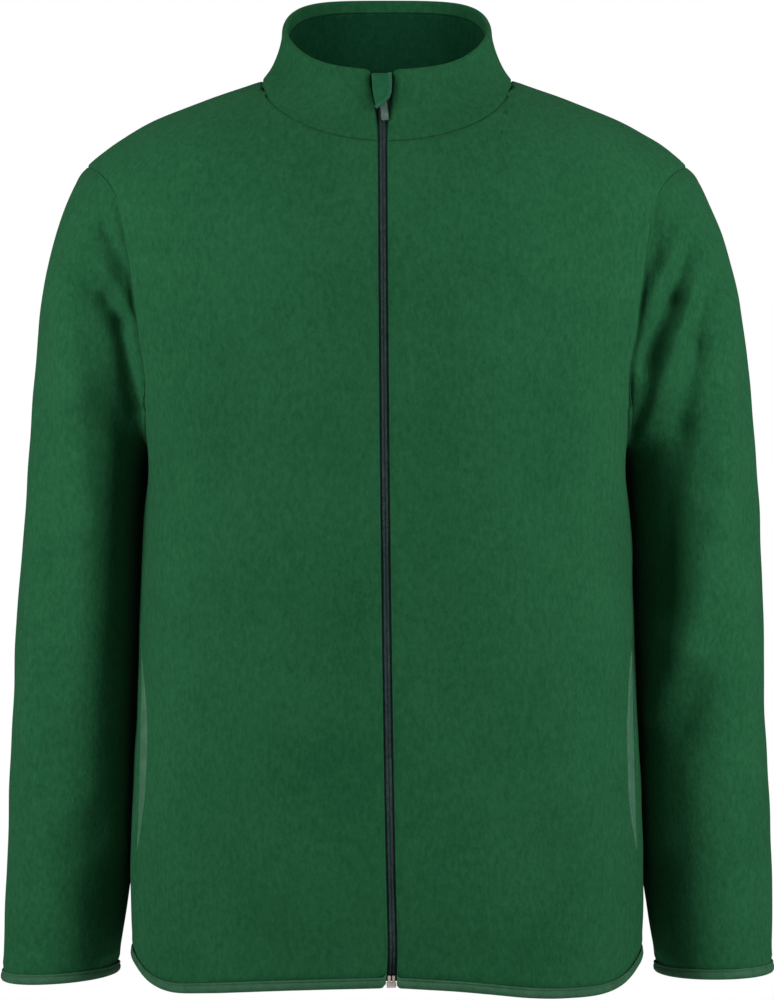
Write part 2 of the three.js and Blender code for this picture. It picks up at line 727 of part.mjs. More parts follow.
// Turns the faces round if the mesh came out inside out.
function outwards(geometry) {
  const p = geometry.attributes.position;
  const index = geometry.index.array;
  const [a, b, c] = [new THREE.Vector3(), new THREE.Vector3(), new THREE.Vector3()];
  let volume = 0;
  for (let i = 0; i < index.length; i += 3) {
    [a, b, c].forEach((q, k) => q.fromBufferAttribute(p, index[i + k]));
    volume += a.dot(b.cross(c));
  }
  if (volume < 0)
    for (let i = 0; i < index.length; i += 3) [index[i], index[i + 1]] = [index[i + 1], index[i]];
  return geometry;
}

const fabric = (color) => new THREE.MeshStandardMaterial({ color, roughness: 0.95, metalness: 0 });
const MATERIALS = {
  fleece: fabric(0x28613f),
  binding: fabric(0x3a6b4c),
  bag: fabric(0x235238),
  tape: fabric(0x1d3a35),
  garage: fabric(0x23694a),
  coil: new THREE.MeshStandardMaterial({ color: 0x26393c, roughness: 0.5, metalness: 0 }),
  pull: new THREE.MeshStandardMaterial({ color: 0x5c7d70, roughness: 0.4, metalness: 0.4 }),
  metal: new THREE.MeshStandardMaterial({ color: 0xcdbab2, roughness: 0.35, metalness: 0.8 }),
};

const jacket = new THREE.Group();
function add(name, geometry, material) {
  const mesh = new THREE.Mesh(outwards(geometry), MATERIALS[material]);
  mesh.name = name;
  jacket.add(mesh);
}

const SIDES = { right: -1, left: 1 };
const grids = {
  back: { ...backGrid(), part: "body", flip: true },
  collar: { ...collarGrid(), part: "collar", flip: true },
};
for (const [word, side] of Object.entries(SIDES)) {
  grids[`front_${word}`] = { ...frontGrid(side), part: "body", flip: side < 0 };
  grids[`sleeve_${word}`] = { ...sleeveGrid(side), part: "sleeve", flip: side < 0 };
}
clothNormals(Object.values(grids));

// Binding round a cut edge: a folded strip that holds the cloth's edge between its two sides.
const BINDING = { tall: 8, out: CLEAR + KNIT, bevel: 0.8, hem_room: 0.6 };
const EDGE_BACK = KNIT + CLEAR; // the cloth stops this far above its bound edge

function bindingSection(room) {
  const far = -(FLEECE + CLEAR + room);
  return [
    [BINDING.out, -BINDING.tall],
    [BINDING.out, -BINDING.bevel],
    [CLEAR, 0],
    [far, 0],
    [far - KNIT, -BINDING.bevel],
    [far - KNIT, -BINDING.tall],
    [far, -BINDING.tall],
    [far, -KNIT],
    [CLEAR, -KNIT],
    [CLEAR, -BINDING.tall],
  ];
}

function edgeFrames(grid, bottom, next) {
  return grid.rows[bottom].map((p, c) => {
    const down = p.clone().sub(grid.rows[next][c]).normalize();
    const normal = grid.normals[bottom][c];
    const first = normal.clone().addScaledVector(down, -normal.dot(down)).normalize();
    return { origin: p, first, second: down };
  });
}

function addPanels() {
  const nose = (r, c) => (c ? [0, -FLEECE] : [-EDGE_NOSE.deep, -EDGE_NOSE.inner]);
  for (const word of Object.keys(SIDES)) {
    const hem = { first: EDGE_BACK, start: 0 };
    add(`front_${word}`, wall(grids[`front_${word}`], { offsets: nose, back: hem }), "fleece");
    const sleeve = grids[`sleeve_${word}`];
    add(`sleeve_${word}`, wall(sleeve, { back: { first: DEEP_SEAM, last: EDGE_BACK } }), "fleece");
    const cuff = edgeFrames(sleeve, SLEEVE_ROWS, SLEEVE_ROWS - 1);
    add(`cuff_binding_${word}`, sweep(cuff, bindingSection(0), true), "binding");
  }
  add("back", wall(grids.back, { back: { first: EDGE_BACK } }), "fleece");
  const bottom = (name) => edgeFrames(grids[name], 0, 1);
  const [right, behind, left] = ["front_right", "back", "front_left"].map(bottom);
  const round = [...right, ...behind.slice(1, -1), ...left.reverse()];
  add("hem_binding", sweep(round, bindingSection(BINDING.hem_room), false), "binding");
}

// The collar's outer cloth goes up, over the rim and down inside to its second row from the
// top. The facing lines the rest, and steps inwards over the zip tape.
const TAPE = {
  wide: 13,
  thick: 0.8,
  deep: 3.4,
  low: 1.7,
  low_from: -668,
  low_to: -686,
  top: -14.4,
  folds: [4, 9], // columns between its two edges
};
const TAPE_COLUMNS = 3; // columns of the facing that lie over the tape
const RIM_SEAM = 5; // the collar row where the outer cloth's inner edge meets the facing

function addCollar() {
  const { rows, normals } = grids.collar;
  const rim = rows.length - 1;
  const wide = rows[0].length;
  const up = (c) => rows[rim][c].clone().sub(rows[rim - 1][c]).normalize();
  const at = (r, c, off, lift = 0) =>
    rows[r][c].clone().addScaledVector(normals[r][c], off).addScaledVector(up(c), lift);
  const columns = [...Array(wide).keys()];
  const neck = rows[0].map((p, c) => {
    const [west, east] = [rows[0][max(c - 1, 0)], rows[0][min(c + 1, wide - 1)]];
    return drawnBack(p, west, east, rows[1][c], normals[0][c], DEEP_SEAM / 2);
  });
  const foot = (off) => columns.map((c) => at(0, c, off).add(neck[c]));
  const rising = (off, last) =>
    [...Array(last).keys()].map((r) => columns.map((c) => at(r + 1, c, off)));
  const outer = [
    foot(0),
    ...rising(0, rim),
    columns.map((c) => at(rim, c, -FLEECE * 0.35, FLEECE * 0.75)),
    columns.map((c) => at(rim, c, -COLLAR_FULL / 2, FLEECE + CLEAR / 2)),
    columns.map((c) => at(rim, c, -COLLAR_FULL + FLEECE * 0.35, FLEECE * 0.75)),
    columns.map((c) => at(rim, c, -COLLAR_FULL)),
    columns.map((c) => at(RIM_SEAM, c, -COLLAR_FULL, SEAM)),
  ];
  const inner = [
    foot(-FLEECE),
    ...rising(-FLEECE, rim),
    columns.map((c) => at(rim, c, -FLEECE - CLEAR * 0.2, CLEAR / 3)),
    columns.map((c) => at(rim, c, -FLEECE - CLEAR / 2, CLEAR / 2)),
    columns.map((c) => at(rim, c, -FLEECE - CLEAR * 0.8, CLEAR / 3)),
    columns.map((c) => at(rim, c, -FLEECE - CLEAR)),
    columns.map((c) => at(RIM_SEAM, c, -FLEECE - CLEAR, SEAM)),
  ];
  add("collar_outer", shell(outer, inner, false, false), "fleece");
  const overTape = TAPE.deep + TAPE.thick + CLEAR - FLEECE;
  const step = (c) => (min(c, wide - 1 - c) < TAPE_COLUMNS ? overTape : 0);
  const lining = (off) => [
    columns.map((c) => at(0, c, -off - step(c)).add(neck[c])),
    ...[...Array(RIM_SEAM - 1).keys()].map((r) => columns.map((c) => at(r + 1, c, -off - step(c)))),
    columns.map((c) => at(RIM_SEAM, c, -off - step(c), -SEAM)),
  ];
  add("collar_facing", shell(lining(FLEECE + CLEAR), lining(COLLAR_FULL), false, false), "fleece");
}

// The skin of the closed front near the zip, as a point and its directions.
function centreSkin(x, z) {
  const side = x < 0 ? -1 : 1;
  const turn = Math.asin(abs(x) / NECK.half);
  if (z <= neckPoint(turn).z) return body(side, angleAt(abs(x), z), z);
  const seam = body(side, angleAt(abs(x), neckPoint(turn).z), neckPoint(turn).z);
  const top = RIM.side_z + RIM.climb * (RIM.mid_y - RIM.deep) - RIM.dip;
  const slide = 1 - (1 - min((z - seam.z) / (top - seam.z), 1)) ** COLLAR_FLARE;
  return new THREE.Vector3(x, mix(seam.y, RIM.mid_y - RIM.deep * cos(turn), slide), z);
}

function centreFrame(x, z) {
  const step = 3;
  const across = centreSkin(x + step, z).sub(centreSkin(x - step, z));
  const up = centreSkin(x, z + step).sub(centreSkin(x, z - step)).normalize();
  const out = across.cross(up).normalize();
  return { origin: centreSkin(x, z), out, up, across: up.clone().cross(out) };
}

const tapeDepth = (z) => TAPE.deep + TAPE.low * smooth(TAPE.low_from, TAPE.low_to, z);

// The zip's chain is closed up to the slider, where its two halves part round a post.
const SLIDER = { z: -18, wide: 8.6, up: 6, down: 7, plate: 1.2, post: 1.8, post_low: 2.4, free: 0.4 };
const COIL = { from: -689, to: -25.6, wide: 2.35, thick: 1.3 };
const PART = 0.15; // half the gap between the two closed halves
const tapeInner = (z) => mix(PART, SLIDER.post / 2 + CLEAR, smooth(SLIDER.z - 2, SLIDER.z + 1, z));

function tapeRows() {
  const rows = [-694.6, -686, -677, -668];
  for (let z = -640; z < -80; z += 31) rows.push(z);
  return [...rows, -80, -64, -50, -38, -28, -21, -17, TAPE.top];
}

function addTape(word, side) {
  const place = (z, far, deep) => {
    const f = centreFrame(ZIP_LINE.x(z) + side * far, z);
    return f.origin.addScaledVector(f.out, -deep);
  };
  const rows = tapeRows().map((z) => [tapeInner(z), ...TAPE.folds, TAPE.wide].map((far) => [z, far]));
  const layer = (extra) => rows.map((row) => row.map(([z, far]) => place(z, far, tapeDepth(z) + extra)));
  add(`zip_tape_${word}`, shell(layer(0), layer(TAPE.thick)), "tape");
  const chain = [COIL.from, ...tapeRows().filter((z) => z > COIL.from && z < COIL.to - 3), COIL.to];
  const bead = (raise, edge) =>
    chain.map((z) =>
      [PART, 0.5, COIL.wide - 0.4, COIL.wide].map((far, k) =>
        place(z, far, tapeDepth(z) - CLEAR - (k === 0 || k === 3 ? raise * edge : raise)),
      ),
    );
  add(`zip_coil_${word}`, shell(bead(COIL.thick, 0.7), bead(0, 0)), "coil");
}

// Solid blocks in the frame of the zip at a height: [across, out, up] from and to.
function block(frame, low, high) {
  const size = high.map((v, k) => v - low[k]);
  const box = new THREE.BoxGeometry(...size);
  box.translate(...low.map((v, k) => v + size[k] / 2));
  return outwards(box.applyMatrix4(frameMatrix(frame)));
}
function frameMatrix({ across, out, up, origin }) {
  return new THREE.Matrix4().makeBasis(across, out, up).setPosition(origin);
}
function joined(...geometries) {
  const solids = geometries.map((g) => {
    const points = new Map();
    const keep = [];
    const raw = g.attributes.position;
    const order = [...g.index.array].map((i) => {
      const p = [raw.getX(i), raw.getY(i), raw.getZ(i)];
      const key = p.map((v) => v.toFixed(4)).join();
      if (!points.has(key)) {
        points.set(key, keep.length / 3);
        keep.push(...p);
      }
      return points.get(key);
    });
    const mesh = { numProp: 3, vertProperties: new Float32Array(keep), triVerts: new Uint32Array(order) };
    return new wasm.Manifold(new wasm.Mesh(mesh));
  });
  const mesh = wasm.Manifold.union(solids).getMesh();
  const geometry = new THREE.BufferGeometry();
  geometry.setAttribute("position", new THREE.BufferAttribute(new Float32Array(mesh.vertProperties), 3));
  geometry.setIndex([...mesh.triVerts]);
  return geometry;
}

// The slider: a front and a back plate on a post, and an arch that holds the pull tab.
const ARCH = { half: 1, under: 2.1, thick: 0.9, foot: 0.9, reach: 3.2 };
const HINGE = { drop: -1.2, out: 0.95 };
const OVERLAP = 0.2; // how far joined blocks reach into each other
const TAB = {
  wide: 5.6,
  neck: 4.48, // width at the top, which widens to the full width at the waist
  waist: -7,
  thick: 1.2,
  length: 23.6,
  top: 0.7,
  corner: 0.8,
  window: 6.4,
  window_top: -0.7,
  window_half: 1.5,
  tilt: 5.6,
  lean: 7,
};

function addSlider() {
  const frame = centreFrame(ZIP_LINE.x(SLIDER.z), SLIDER.z);
  const half = SLIDER.wide / 2;
  const post = SLIDER.post / 2;
  const front = -TAPE.deep + SLIDER.free;
  const back = -TAPE.deep - TAPE.thick - SLIDER.free;
  const face = front + SLIDER.plate;
  const tall = (low, high) => block(frame, low, high);
  const from = face - OVERLAP;
  const under = ARCH.under + OVERLAP;
  const high = HINGE.drop + ARCH.reach;
  const low = HINGE.drop - ARCH.reach - ARCH.foot + OVERLAP;
  const top = high + ARCH.foot;
  add(
    "zip_slider",
    joined(
      tall([-half, front, -SLIDER.down], [half, face, SLIDER.up]),
      tall([-half, back - SLIDER.plate, -SLIDER.down], [half, back, SLIDER.up]),
      tall([-post, back - OVERLAP, SLIDER.post_low], [post, front + OVERLAP, SLIDER.up]),
      tall([-ARCH.half, from, high], [ARCH.half, under, top]),
      tall([-ARCH.half, from, low], [ARCH.half, under, low + ARCH.foot]),
      tall([-ARCH.half, ARCH.under, low], [ARCH.half, ARCH.under + ARCH.thick, top]),
    ),
    "metal",
  );
  const tab = new THREE.Shape();
  const w = TAB.wide / 2;
  const neck = TAB.neck / 2;
  const end = -TAB.length;
  tab.moveTo(-neck, TAB.top).lineTo(-w, TAB.waist).lineTo(-w, end + TAB.corner).lineTo(-w + TAB.corner, end);
  tab.lineTo(w - TAB.corner, end).lineTo(w, end + TAB.corner).lineTo(w, TAB.waist).lineTo(neck, TAB.top);
  const hole = new THREE.Path();
  const h = TAB.window_half;
  hole.moveTo(-h, TAB.window_top).lineTo(h, TAB.window_top).lineTo(h, -TAB.window).lineTo(-h, -TAB.window);
  tab.holes.push(hole);
  const plate = new THREE.ExtrudeGeometry(tab, { depth: TAB.thick, bevelEnabled: false });
  plate.translate(0, 0, -TAB.thick / 2);
  plate.applyMatrix4(new THREE.Matrix4().makeRotationX(PI / 2)); // drawn upright, facing out
  plate.applyMatrix4(new THREE.Matrix4().makeRotationY(-TAB.tilt * DEG));
  plate.applyMatrix4(new THREE.Matrix4().makeRotationX(TAB.lean * DEG));
  plate.translate(0, HINGE.out, HINGE.drop);
  plate.applyMatrix4(frameMatrix(frame));
  add("zip_pull", indexed(plate), "pull");
}

// Joins equal corners of a drawn solid, so that its faces share them.
function indexed(geometry) {
  const g = geometry.index ? geometry.toNonIndexed() : geometry;
  const p = g.attributes.position;
  const plain = new THREE.BufferGeometry().setAttribute("position", p);
  plain.setIndex([...Array(p.count).keys()]);
  return plain;
}

// The bottom of the zip: a box that the left half's pin stands in.
const BOX = { half: 3.6, from: -699.5, to: -695.2, behind: 1.6, ahead: 2.2 };
const PIN = { from: 0.5, to: 2.9, thick: 1.8, top: -690.3 };

function addZipEnds() {
  const frame = centreFrame(ZIP_LINE.x(BOX.to), BOX.to);
  const front = -tapeDepth(BOX.to) + CLEAR;
  const tall = (low, high) => block(frame, low, high);
  const base = BOX.from - BOX.to;
  const rise = PIN.top - BOX.to;
  add(
    "zip_box",
    joined(
      tall([-BOX.half, front - BOX.behind, base], [BOX.half, front + BOX.ahead, 0]),
      tall([-PIN.to, front, -OVERLAP], [-PIN.from, front + PIN.thick, rise]),
    ),
    "metal",
  );
  add("zip_pin", indexed(tall([PIN.from, front, CLEAR], [PIN.to, front + PIN.thick, rise])), "metal");
}

// The garage: a leaf of thin cloth from the inside of the collar, over the zip's top and down
// in front of the slider. Each row gives its place and its two edges.
const GARAGE_ROWS = ["z", "out", "from", "to"];
const GARAGE = [
  [-24, -8.0, -9.5, 2.5],
  [-12, -8.0, -11.5, 3.4],
  [-6.4, -7.4, -12.0, 3.6],
  [-4.2, -4.6, -12.0, 3.6],
  [-3.6, -1.6, -12.0, 3.6],
  [-4.2, 1.6, -12.0, 3.6],
  [-6.6, 3.6, -11.9, 3.7],
  [-11, 4.6, -11.6, 3.8],
  [-18, 5.4, -11.1, 3.6],
  [-23, 6.0, -10.5, 2.9],
  [-27, 6.5, -9.8, 0.9],
  [-30.6, 6.8, -9.0, -2.6],
  [-33, 6.9, -8.5, -5.6],
  [-34.6, 6.9, -8.2, -7.6],
];
const GARAGE_THICK = 0.8;

function addGarage() {
  const across = 4;
  const centre = ZIP_LINE.x(-10);
  const lines = GARAGE.map((row) => {
    const g = Object.fromEntries(GARAGE_ROWS.map((name, k) => [name, row[k]]));
    const f = centreFrame(centre, g.z);
    return { ...g, base: f.origin.clone().addScaledVector(f.out, g.out) };
  });
  const layer = (thick) =>
    lines.map((line, i) => {
      const before = lines[max(i - 1, 0)].base;
      const after = lines[min(i + 1, lines.length - 1)].base;
      const along = after.clone().sub(before).normalize();
      const side = new THREE.Vector3(1, 0, 0);
      const out = side.clone().cross(along).normalize().negate();
      return [...Array(across + 1).keys()].map((c) => {
        const p = line.base.clone().addScaledVector(out, thick);
        p.x = mix(line.from, line.to, c / across);
        return p;
      });
    });
  add("zip_garage", shell(layer(0), layer(-GARAGE_THICK)), "garage");
}

// Pockets: a welt along the side seam and a flat bag folded behind the front.
const BAG = {
  thick: 0.7,
  reach: 0.86,
  top: -436,
  bottom: -652,
  rows: 6,
  first: 3.1,
  inset: 2, // its mouth is this much shorter than the opening at each end
  corner: 22,
  corner_from: 0.6,
  mouth: 0.02,
  full: 0.2, // the reach at which it has its full height
};

function skin(side, angle, z) {
  const step = 0.01;
  const across = body(side, angle + step, z).sub(body(side, angle - step, z));
  const up = body(side, angle, z + 2).sub(body(side, angle, z - 2));
  return { p: body(side, angle, z), n: across.cross(up).normalize().multiplyScalar(side) };
}

function addPocket(word, side) {
  const rows = PANEL_ROW_HEIGHTS.filter((z) => z >= POCKET.bottom && z <= POCKET.top);
  const tip = 0.3; // the welt's ends start this far into the panel's end rows
  const ends = rows.map((z, i) => {
    const next = rows[i ? i - 1 : 1];
    const end = i === 0 || i === rows.length - 1;
    return end ? [mix(z, next, tip), weltAngle(next) * tip] : [z, weltAngle(z)];
  });
  const welt = (off) =>
    ends.map(([z, reach]) =>
      [1, 0.66, 0.33, 0].map((t) => {
        const slit = min(POCKET.slit / SIDE_ARC, reach * 0.3);
        const gap = min(CLEAR / SIDE_ARC, reach * 0.25);
        const at = skin(side, sideSeam(z) - mix(slit, reach - gap, t), z);
        return at.p.addScaledVector(at.n, -off - 0.5 * (1 - t));
      }),
    );
  add(`pocket_welt_${word}`, shell(welt(0.1), welt(0.1 + 2 * KNIT)), "binding");
  const path = [BAG.mouth, 0.08, 0.25, 0.45, 0.65, 0.8, BAG.reach];
  const bagPoint = (v, reach, off) => {
    const open = smooth(BAG.mouth, BAG.full, reach);
    const round = BAG.corner * smooth(BAG.corner_from, BAG.reach, reach) ** 2;
    const top = mix(POCKET.top - BAG.inset, BAG.top, open) - round;
    const bottom = mix(POCKET.bottom + BAG.inset, BAG.bottom, open) + round;
    const z = mix(bottom, top, v);
    const at = skin(side, sideSeam(z) - reach, z);
    return at.p.addScaledVector(at.n, -off);
  };
  const { thick, first } = BAG;
  const layer = (near, far, bend) =>
    [...Array(BAG.rows + 1).keys()].map((i) => [
      ...path.map((reach) => bagPoint(i / BAG.rows, reach, near)),
      bagPoint(i / BAG.rows, BAG.reach + bend, (near + far) / 2),
      ...path.toReversed().map((reach) => bagPoint(i / BAG.rows, reach, far)),
    ]);
  const outer = layer(first, first + 2 * thick + CLEAR, 0.006);
  const inner = layer(first + thick, first + thick + CLEAR, 0.001);
  add(`pocket_bag_${word}`, shell(outer, inner), "bag");
}

addPanels();
addCollar();
for (const [word, side] of Object.entries(SIDES)) {
  addTape(word, side);
  addPocket(word, side);
}
addSlider();
addZipEnds();
addGarage();

export default jacket;
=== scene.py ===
"""A men's fleece jacket, filled out as worn: its cloth, seams, stitches and zip.

Shapes are worked out in millimetres and become metres when a mesh is made. The wearer faces -Y,
+Z is up, and "left" and "right" are the wearer's, so left is +X.
"""

import json

import bpy
import numpy as np
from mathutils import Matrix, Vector

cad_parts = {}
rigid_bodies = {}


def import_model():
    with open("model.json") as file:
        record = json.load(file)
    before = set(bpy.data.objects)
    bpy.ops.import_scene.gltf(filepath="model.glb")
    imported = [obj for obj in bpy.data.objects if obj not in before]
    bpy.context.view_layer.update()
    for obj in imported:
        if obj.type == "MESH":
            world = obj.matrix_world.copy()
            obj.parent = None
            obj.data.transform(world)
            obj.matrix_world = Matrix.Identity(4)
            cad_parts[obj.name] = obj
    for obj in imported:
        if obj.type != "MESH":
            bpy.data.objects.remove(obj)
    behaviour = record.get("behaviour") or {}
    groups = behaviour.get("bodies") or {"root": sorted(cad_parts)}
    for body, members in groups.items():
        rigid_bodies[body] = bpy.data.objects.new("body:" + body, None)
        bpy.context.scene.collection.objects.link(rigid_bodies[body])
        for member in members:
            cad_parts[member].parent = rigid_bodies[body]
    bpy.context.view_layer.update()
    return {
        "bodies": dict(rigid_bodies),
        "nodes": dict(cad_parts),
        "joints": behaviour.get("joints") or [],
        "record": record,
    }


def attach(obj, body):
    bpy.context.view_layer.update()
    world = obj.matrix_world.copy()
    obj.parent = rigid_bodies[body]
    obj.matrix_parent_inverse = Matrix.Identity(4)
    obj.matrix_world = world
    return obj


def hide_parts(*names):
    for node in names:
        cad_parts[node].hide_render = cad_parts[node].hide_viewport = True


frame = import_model()
PI = np.pi
MM = 0.001


def new_object(name, data):
    """An object that holds the data, linked into the scene."""
    thing = bpy.data.objects.new(name, data)
    bpy.context.collection.objects.link(thing)
    return thing


# Camera: level, straight in front, as in the photograph
CAMERA = {"distance": 2.7, "height": -0.3315, "half_frame": 0.3965}


def add_camera():
    """The long side of the picture covers twice half_frame at the jacket's middle."""
    data = bpy.data.cameras.new("camera")
    camera = new_object("camera", data)
    camera.location = (0, -CAMERA["distance"], CAMERA["height"])
    camera.rotation_euler = (PI / 2, 0, 0)
    data.sensor_fit = "AUTO"
    data.lens = data.sensor_width * CAMERA["distance"] / (2 * CAMERA["half_frame"])
    bpy.context.scene.camera = camera


add_camera()

# Cloth: how thick the walls are, and how far they turn in at their seams
FLEECE = 2.4
KNIT = 1.0
CLEAR = 0.3
LEAST_WALL = 0.5
SEAM_GAP = 0.1  # a piece stops this far from the seam line it shares
SAME_PLACE = 0.1  # points of two pieces that are nearer than this lie on one seam
SEAM_TURN = {"deep": 1.4, "wide": 1.5, "swell": 0.35, "swell_wide": 4}
SIDE_TURN = {"high": 0.4, "low": 1.3, "from": -390, "to": -450, "wide": 1.1}
SLEEVE_TURN = {"deep": 2.0, "wide": 3.2, "at_top": 0.25, "full_below": 60}
NECK_CALM = 26  # the neck seam lies flat this far round the ends of the shoulder seams

# Fineness of the surfaces, and how much their lines crowd together beside the seams
HALF_PANEL = 46  # columns of half a panel
LOW_ROWS = 104
HIGH_ROWS = 56
SLEEVE_ROWS = 190
ARMHOLE_STEPS = 60
RIM_STEPS = 10
COLLAR_ROWS = {"low": 26, "high": 6}
CROWD = {"across": 0.8, "low": 0.6, "high": 0.7, "collar": 0.5}
ROUNDS = {"low": 6, "high": 14}  # after these, a row's heights and angles agree


class Table:
    """Named columns against the first one. Between rows it is a cubic whose slope at a row is
    that of the chord between the row's neighbours."""

    def __init__(self, names, rows):
        columns = np.array(rows, float).T
        self.key = columns[0]
        self.columns = dict(zip(names, columns))

    def __call__(self, name, at):
        x, y = self.key, self.columns[name]
        k = np.arange(len(x))
        low, high = np.maximum(k - 1, 0), np.minimum(k + 1, len(x) - 1)
        slope = (y[high] - y[low]) / (x[high] - x[low])
        i = np.clip(np.searchsorted(x, at, side="right") - 1, 0, len(x) - 2)
        h = x[i + 1] - x[i]
        t = np.clip((at - x[i]) / h, 0, 1)
        ends = y[i] * (2 * t**3 - 3 * t**2 + 1) + y[i + 1] * (3 * t**2 - 2 * t**3)
        return ends + h * (slope[i] * (t**3 - 2 * t**2 + t) + slope[i + 1] * (t**3 - t**2))


# The body's level sections: half width at the side, depth to the front and to the back
FULLNESS = 2.3
BODY = Table(
    ["z", "half", "front", "back"],
    [
        [-712, 197, 136, 116],
        [-690, 200.5, 137, 117],
        [-620, 203, 139, 116],
        [-540, 200, 140, 112],
        [-450, 196, 140, 108],
        [-370, 194, 140, 108],
        [-300, 194, 139, 112],
        [-250, 200, 138, 117],
        [-200, 213, 135, 121],
        [-150, 223, 129, 122],
        [-100, 238, 119, 118],
        [-57, 252, 107, 108],
        [0, 262, 97, 97],
        [30, 264, 92, 90],
    ],
)

# The shoulder line, from under the neck out to the shoulder point
SHOULDER = Table(
    ["x", "z", "y"],
    [
        [0, 27, 6],
        [50, 17, 7],
        [99, 1, 8],
        [143, -14, 9],
        [183, -30, 10],
        [212, -46, 10],
        [230, -59, 10],
        [239, -67, 10],
    ],
)
SHOULDER_END = 239
ROLL_AT_NECK = 110
ROLL_AT_ARM = 65
BACK_ROLL = 0.72
NECK = {"half": 99, "side": 1, "front": 58, "back": 11}
ARMPIT_Z = -292
SHOULDER_Z = -67
SHOULDER_ANGLE = np.degrees(np.arcsin((SHOULDER_END / BODY("half", SHOULDER_Z)) ** (FULLNESS / 2)))
ARMHOLE = Table(
    ["z", "front", "back"],
    [
        [ARMPIT_Z, 86.0, 86.0],
        [-283, 79.0, 97.0],
        [-262, 71.5, 106.5],
        [-230, 65.6, 109.5],
        [-190, 63.1, 112.8],
        [-150, 61.9, 114.5],
        [-110, 59.6, 117.6],
        [-90, 60.4, 117.4],
        [-75, 65.0, 113.6],
        [SHOULDER_Z, SHOULDER_ANGLE, 180 - SHOULDER_ANGLE],
    ],
)
DENT = {"depth": 8, "y": -5, "wide": 38, "tall": 45, "from": 0.9}  # under the arm
SIDE_SEAM = Table(
    ["z", "angle"],
    [[-712, 73], [-600, 73.4], [-520, 75.4], [-447, 77.6], [-370, 80], [-330, 83], [-292, 86]],
)
HEM = Table(
    ["angle", "right", "left"],
    [
        [0, -696.0, -696.3],  # the corners at the zip are rounded
        [0.2, -696.6, -696.3],
        [0.45, -698.4, -696.3],
        [0.7, -699.0, -696.3],
        [1.2, -699.2, -696.6],
        [1.5, -699.3, -698.4],
        [1.9, -699.4, -699.2],
        [12, -700.5, -702],
        [20, -702, -705],
        [30, -704.5, -709],
        [40, -707, -711],
        [55, -709.5, -711],
        [66, -705, -706],
        [77, -695, -696],
        [90, -691, -691],
        [115, -695, -695],
        [145, -700, -700],
        [180, -702, -702],
    ],
)

# The zip's line, and how far its edges spread round its top
ZIP_LINE = Table(
    ["z", "x", "spread_right", "spread_left"],
    [
        [-702, 3.0, 0.5, 0.5],
        [-685, 3.8, 0.2, 0.2],
        [-670, 4.2, 0, 0],
        [-600, 2.6, 0, 0],
        [-500, 0.8, 0, 0],
        [-350, -1.2, 0, 0],
        [-200, -2.6, 0, 0],
        [-60, -3.4, 0, 0],
        [-40, -3.5, 0.2, 0.4],
        [-30, -3.5, 1.2, 1.5],
        [-20, -3.5, 3.3, 3.0],
        [-10, -3.5, 4.9, 3.8],
        [0, -3.5, 5.4, 4.0],
    ],
)
ZIP_GAP = 3.7
POCKET = {"top": -447, "bottom": -608, "welt": 19, "slit": 1.2, "lens": 0.8}
SIDE_ARC = 148  # radius of the body at its side, where it turns lengths into angles

# Soft folds seen from the front or the back: a ridge (raise above 0) or a trough along a line
FOLD = ["x1", "z1", "x2", "z2", "wide", "raise"]
BODY_FRONT_FOLDS = [
    [-138, -255, -168, -440, 22, 2.6],
    [-112, -300, -120, -420, 26, -1.6],
    [-150, -575, -118, -660, 24, -2.2],
    [-80, -520, -60, -690, 30, 1.6],
    [62, -500, 118, -600, 26, -2.2],
    [130, -440, 84, -640, 26, 1.8],
    [136, -190, 150, -400, 20, 1.8],
    [96, -130, 104, -330, 26, -1.6],
    [-176, -140, -170, -185, 20, -1.8],
    [-60, -110, -70, -260, 34, -1.2],
]
BODY_BACK_FOLDS = [
    [-150, -190, -96, -420, 26, 3.2],
    [-118, -170, -60, -380, 24, -2.4],
    [150, -180, 104, -430, 26, 3.4],
    [120, -170, 70, -360, 22, -2.6],
    [-60, -430, -88, -640, 30, 2.2],
    [40, -450, 62, -660, 28, -2.4],
    [-10, -60, 8, -190, 34, 1.6],
]
RIGHT_SLEEVE_FRONT_FOLDS = [
    [-219, -120, -200, -150, 6.5, -7.5],
    [-238, -140, -217, -155, 8, 3.5],
    [-217, -155, -198, -184, 6, 4.0],
    [-237, -156, -216, -176, 9, -4.0],
    [-216, -176, -204, -194, 8, -6.0],
    [-204, -194, -192, -262, 8, -9.0],
    [-254, -158, -241, -250, 12, 4.5],
    [-241, -250, -233, -350, 12, 5.0],
    [-233, -350, -229, -560, 14, 4.0],
    [-268, -205, -262, -380, 11, -4.0],
    [-262, -380, -262, -560, 12, -3.0],
    [-214, -290, -212, -600, 12, 4.0],
    [-262, -590, -226, -650, 16, -2.2],
]
LEFT_SLEEVE_FRONT_FOLDS = [
    [204, -122, 203, -142, 8, -7.5],
    [238, -104, 218, -148, 8, 3.0],
    [218, -148, 199, -178, 7, 4.0],
    [232, -138, 221, -176, 8, -5.0],
    [221, -176, 200, -226, 8, -8.5],
    [248, -144, 224, -210, 8, 4.5],
    [224, -210, 204, -276, 9, 5.0],
    [250, -152, 238, -212, 9, -4.0],
    [238, -212, 226, -275, 10, -5.5],
    [226, -275, 210, -420, 12, -4.5],
    [265, -178, 262, -305, 11, 5.0],
    [262, -305, 258, -345, 12, 4.5],
    [258, -345, 234, -447, 13, 4.5],
    [234, -447, 212, -500, 12, 4.0],
    [240, -480, 230, -508, 13, -3.5],
    [214, -430, 212, -600, 12, 3.5],
    [276, -230, 278, -380, 9, -3.5],
]
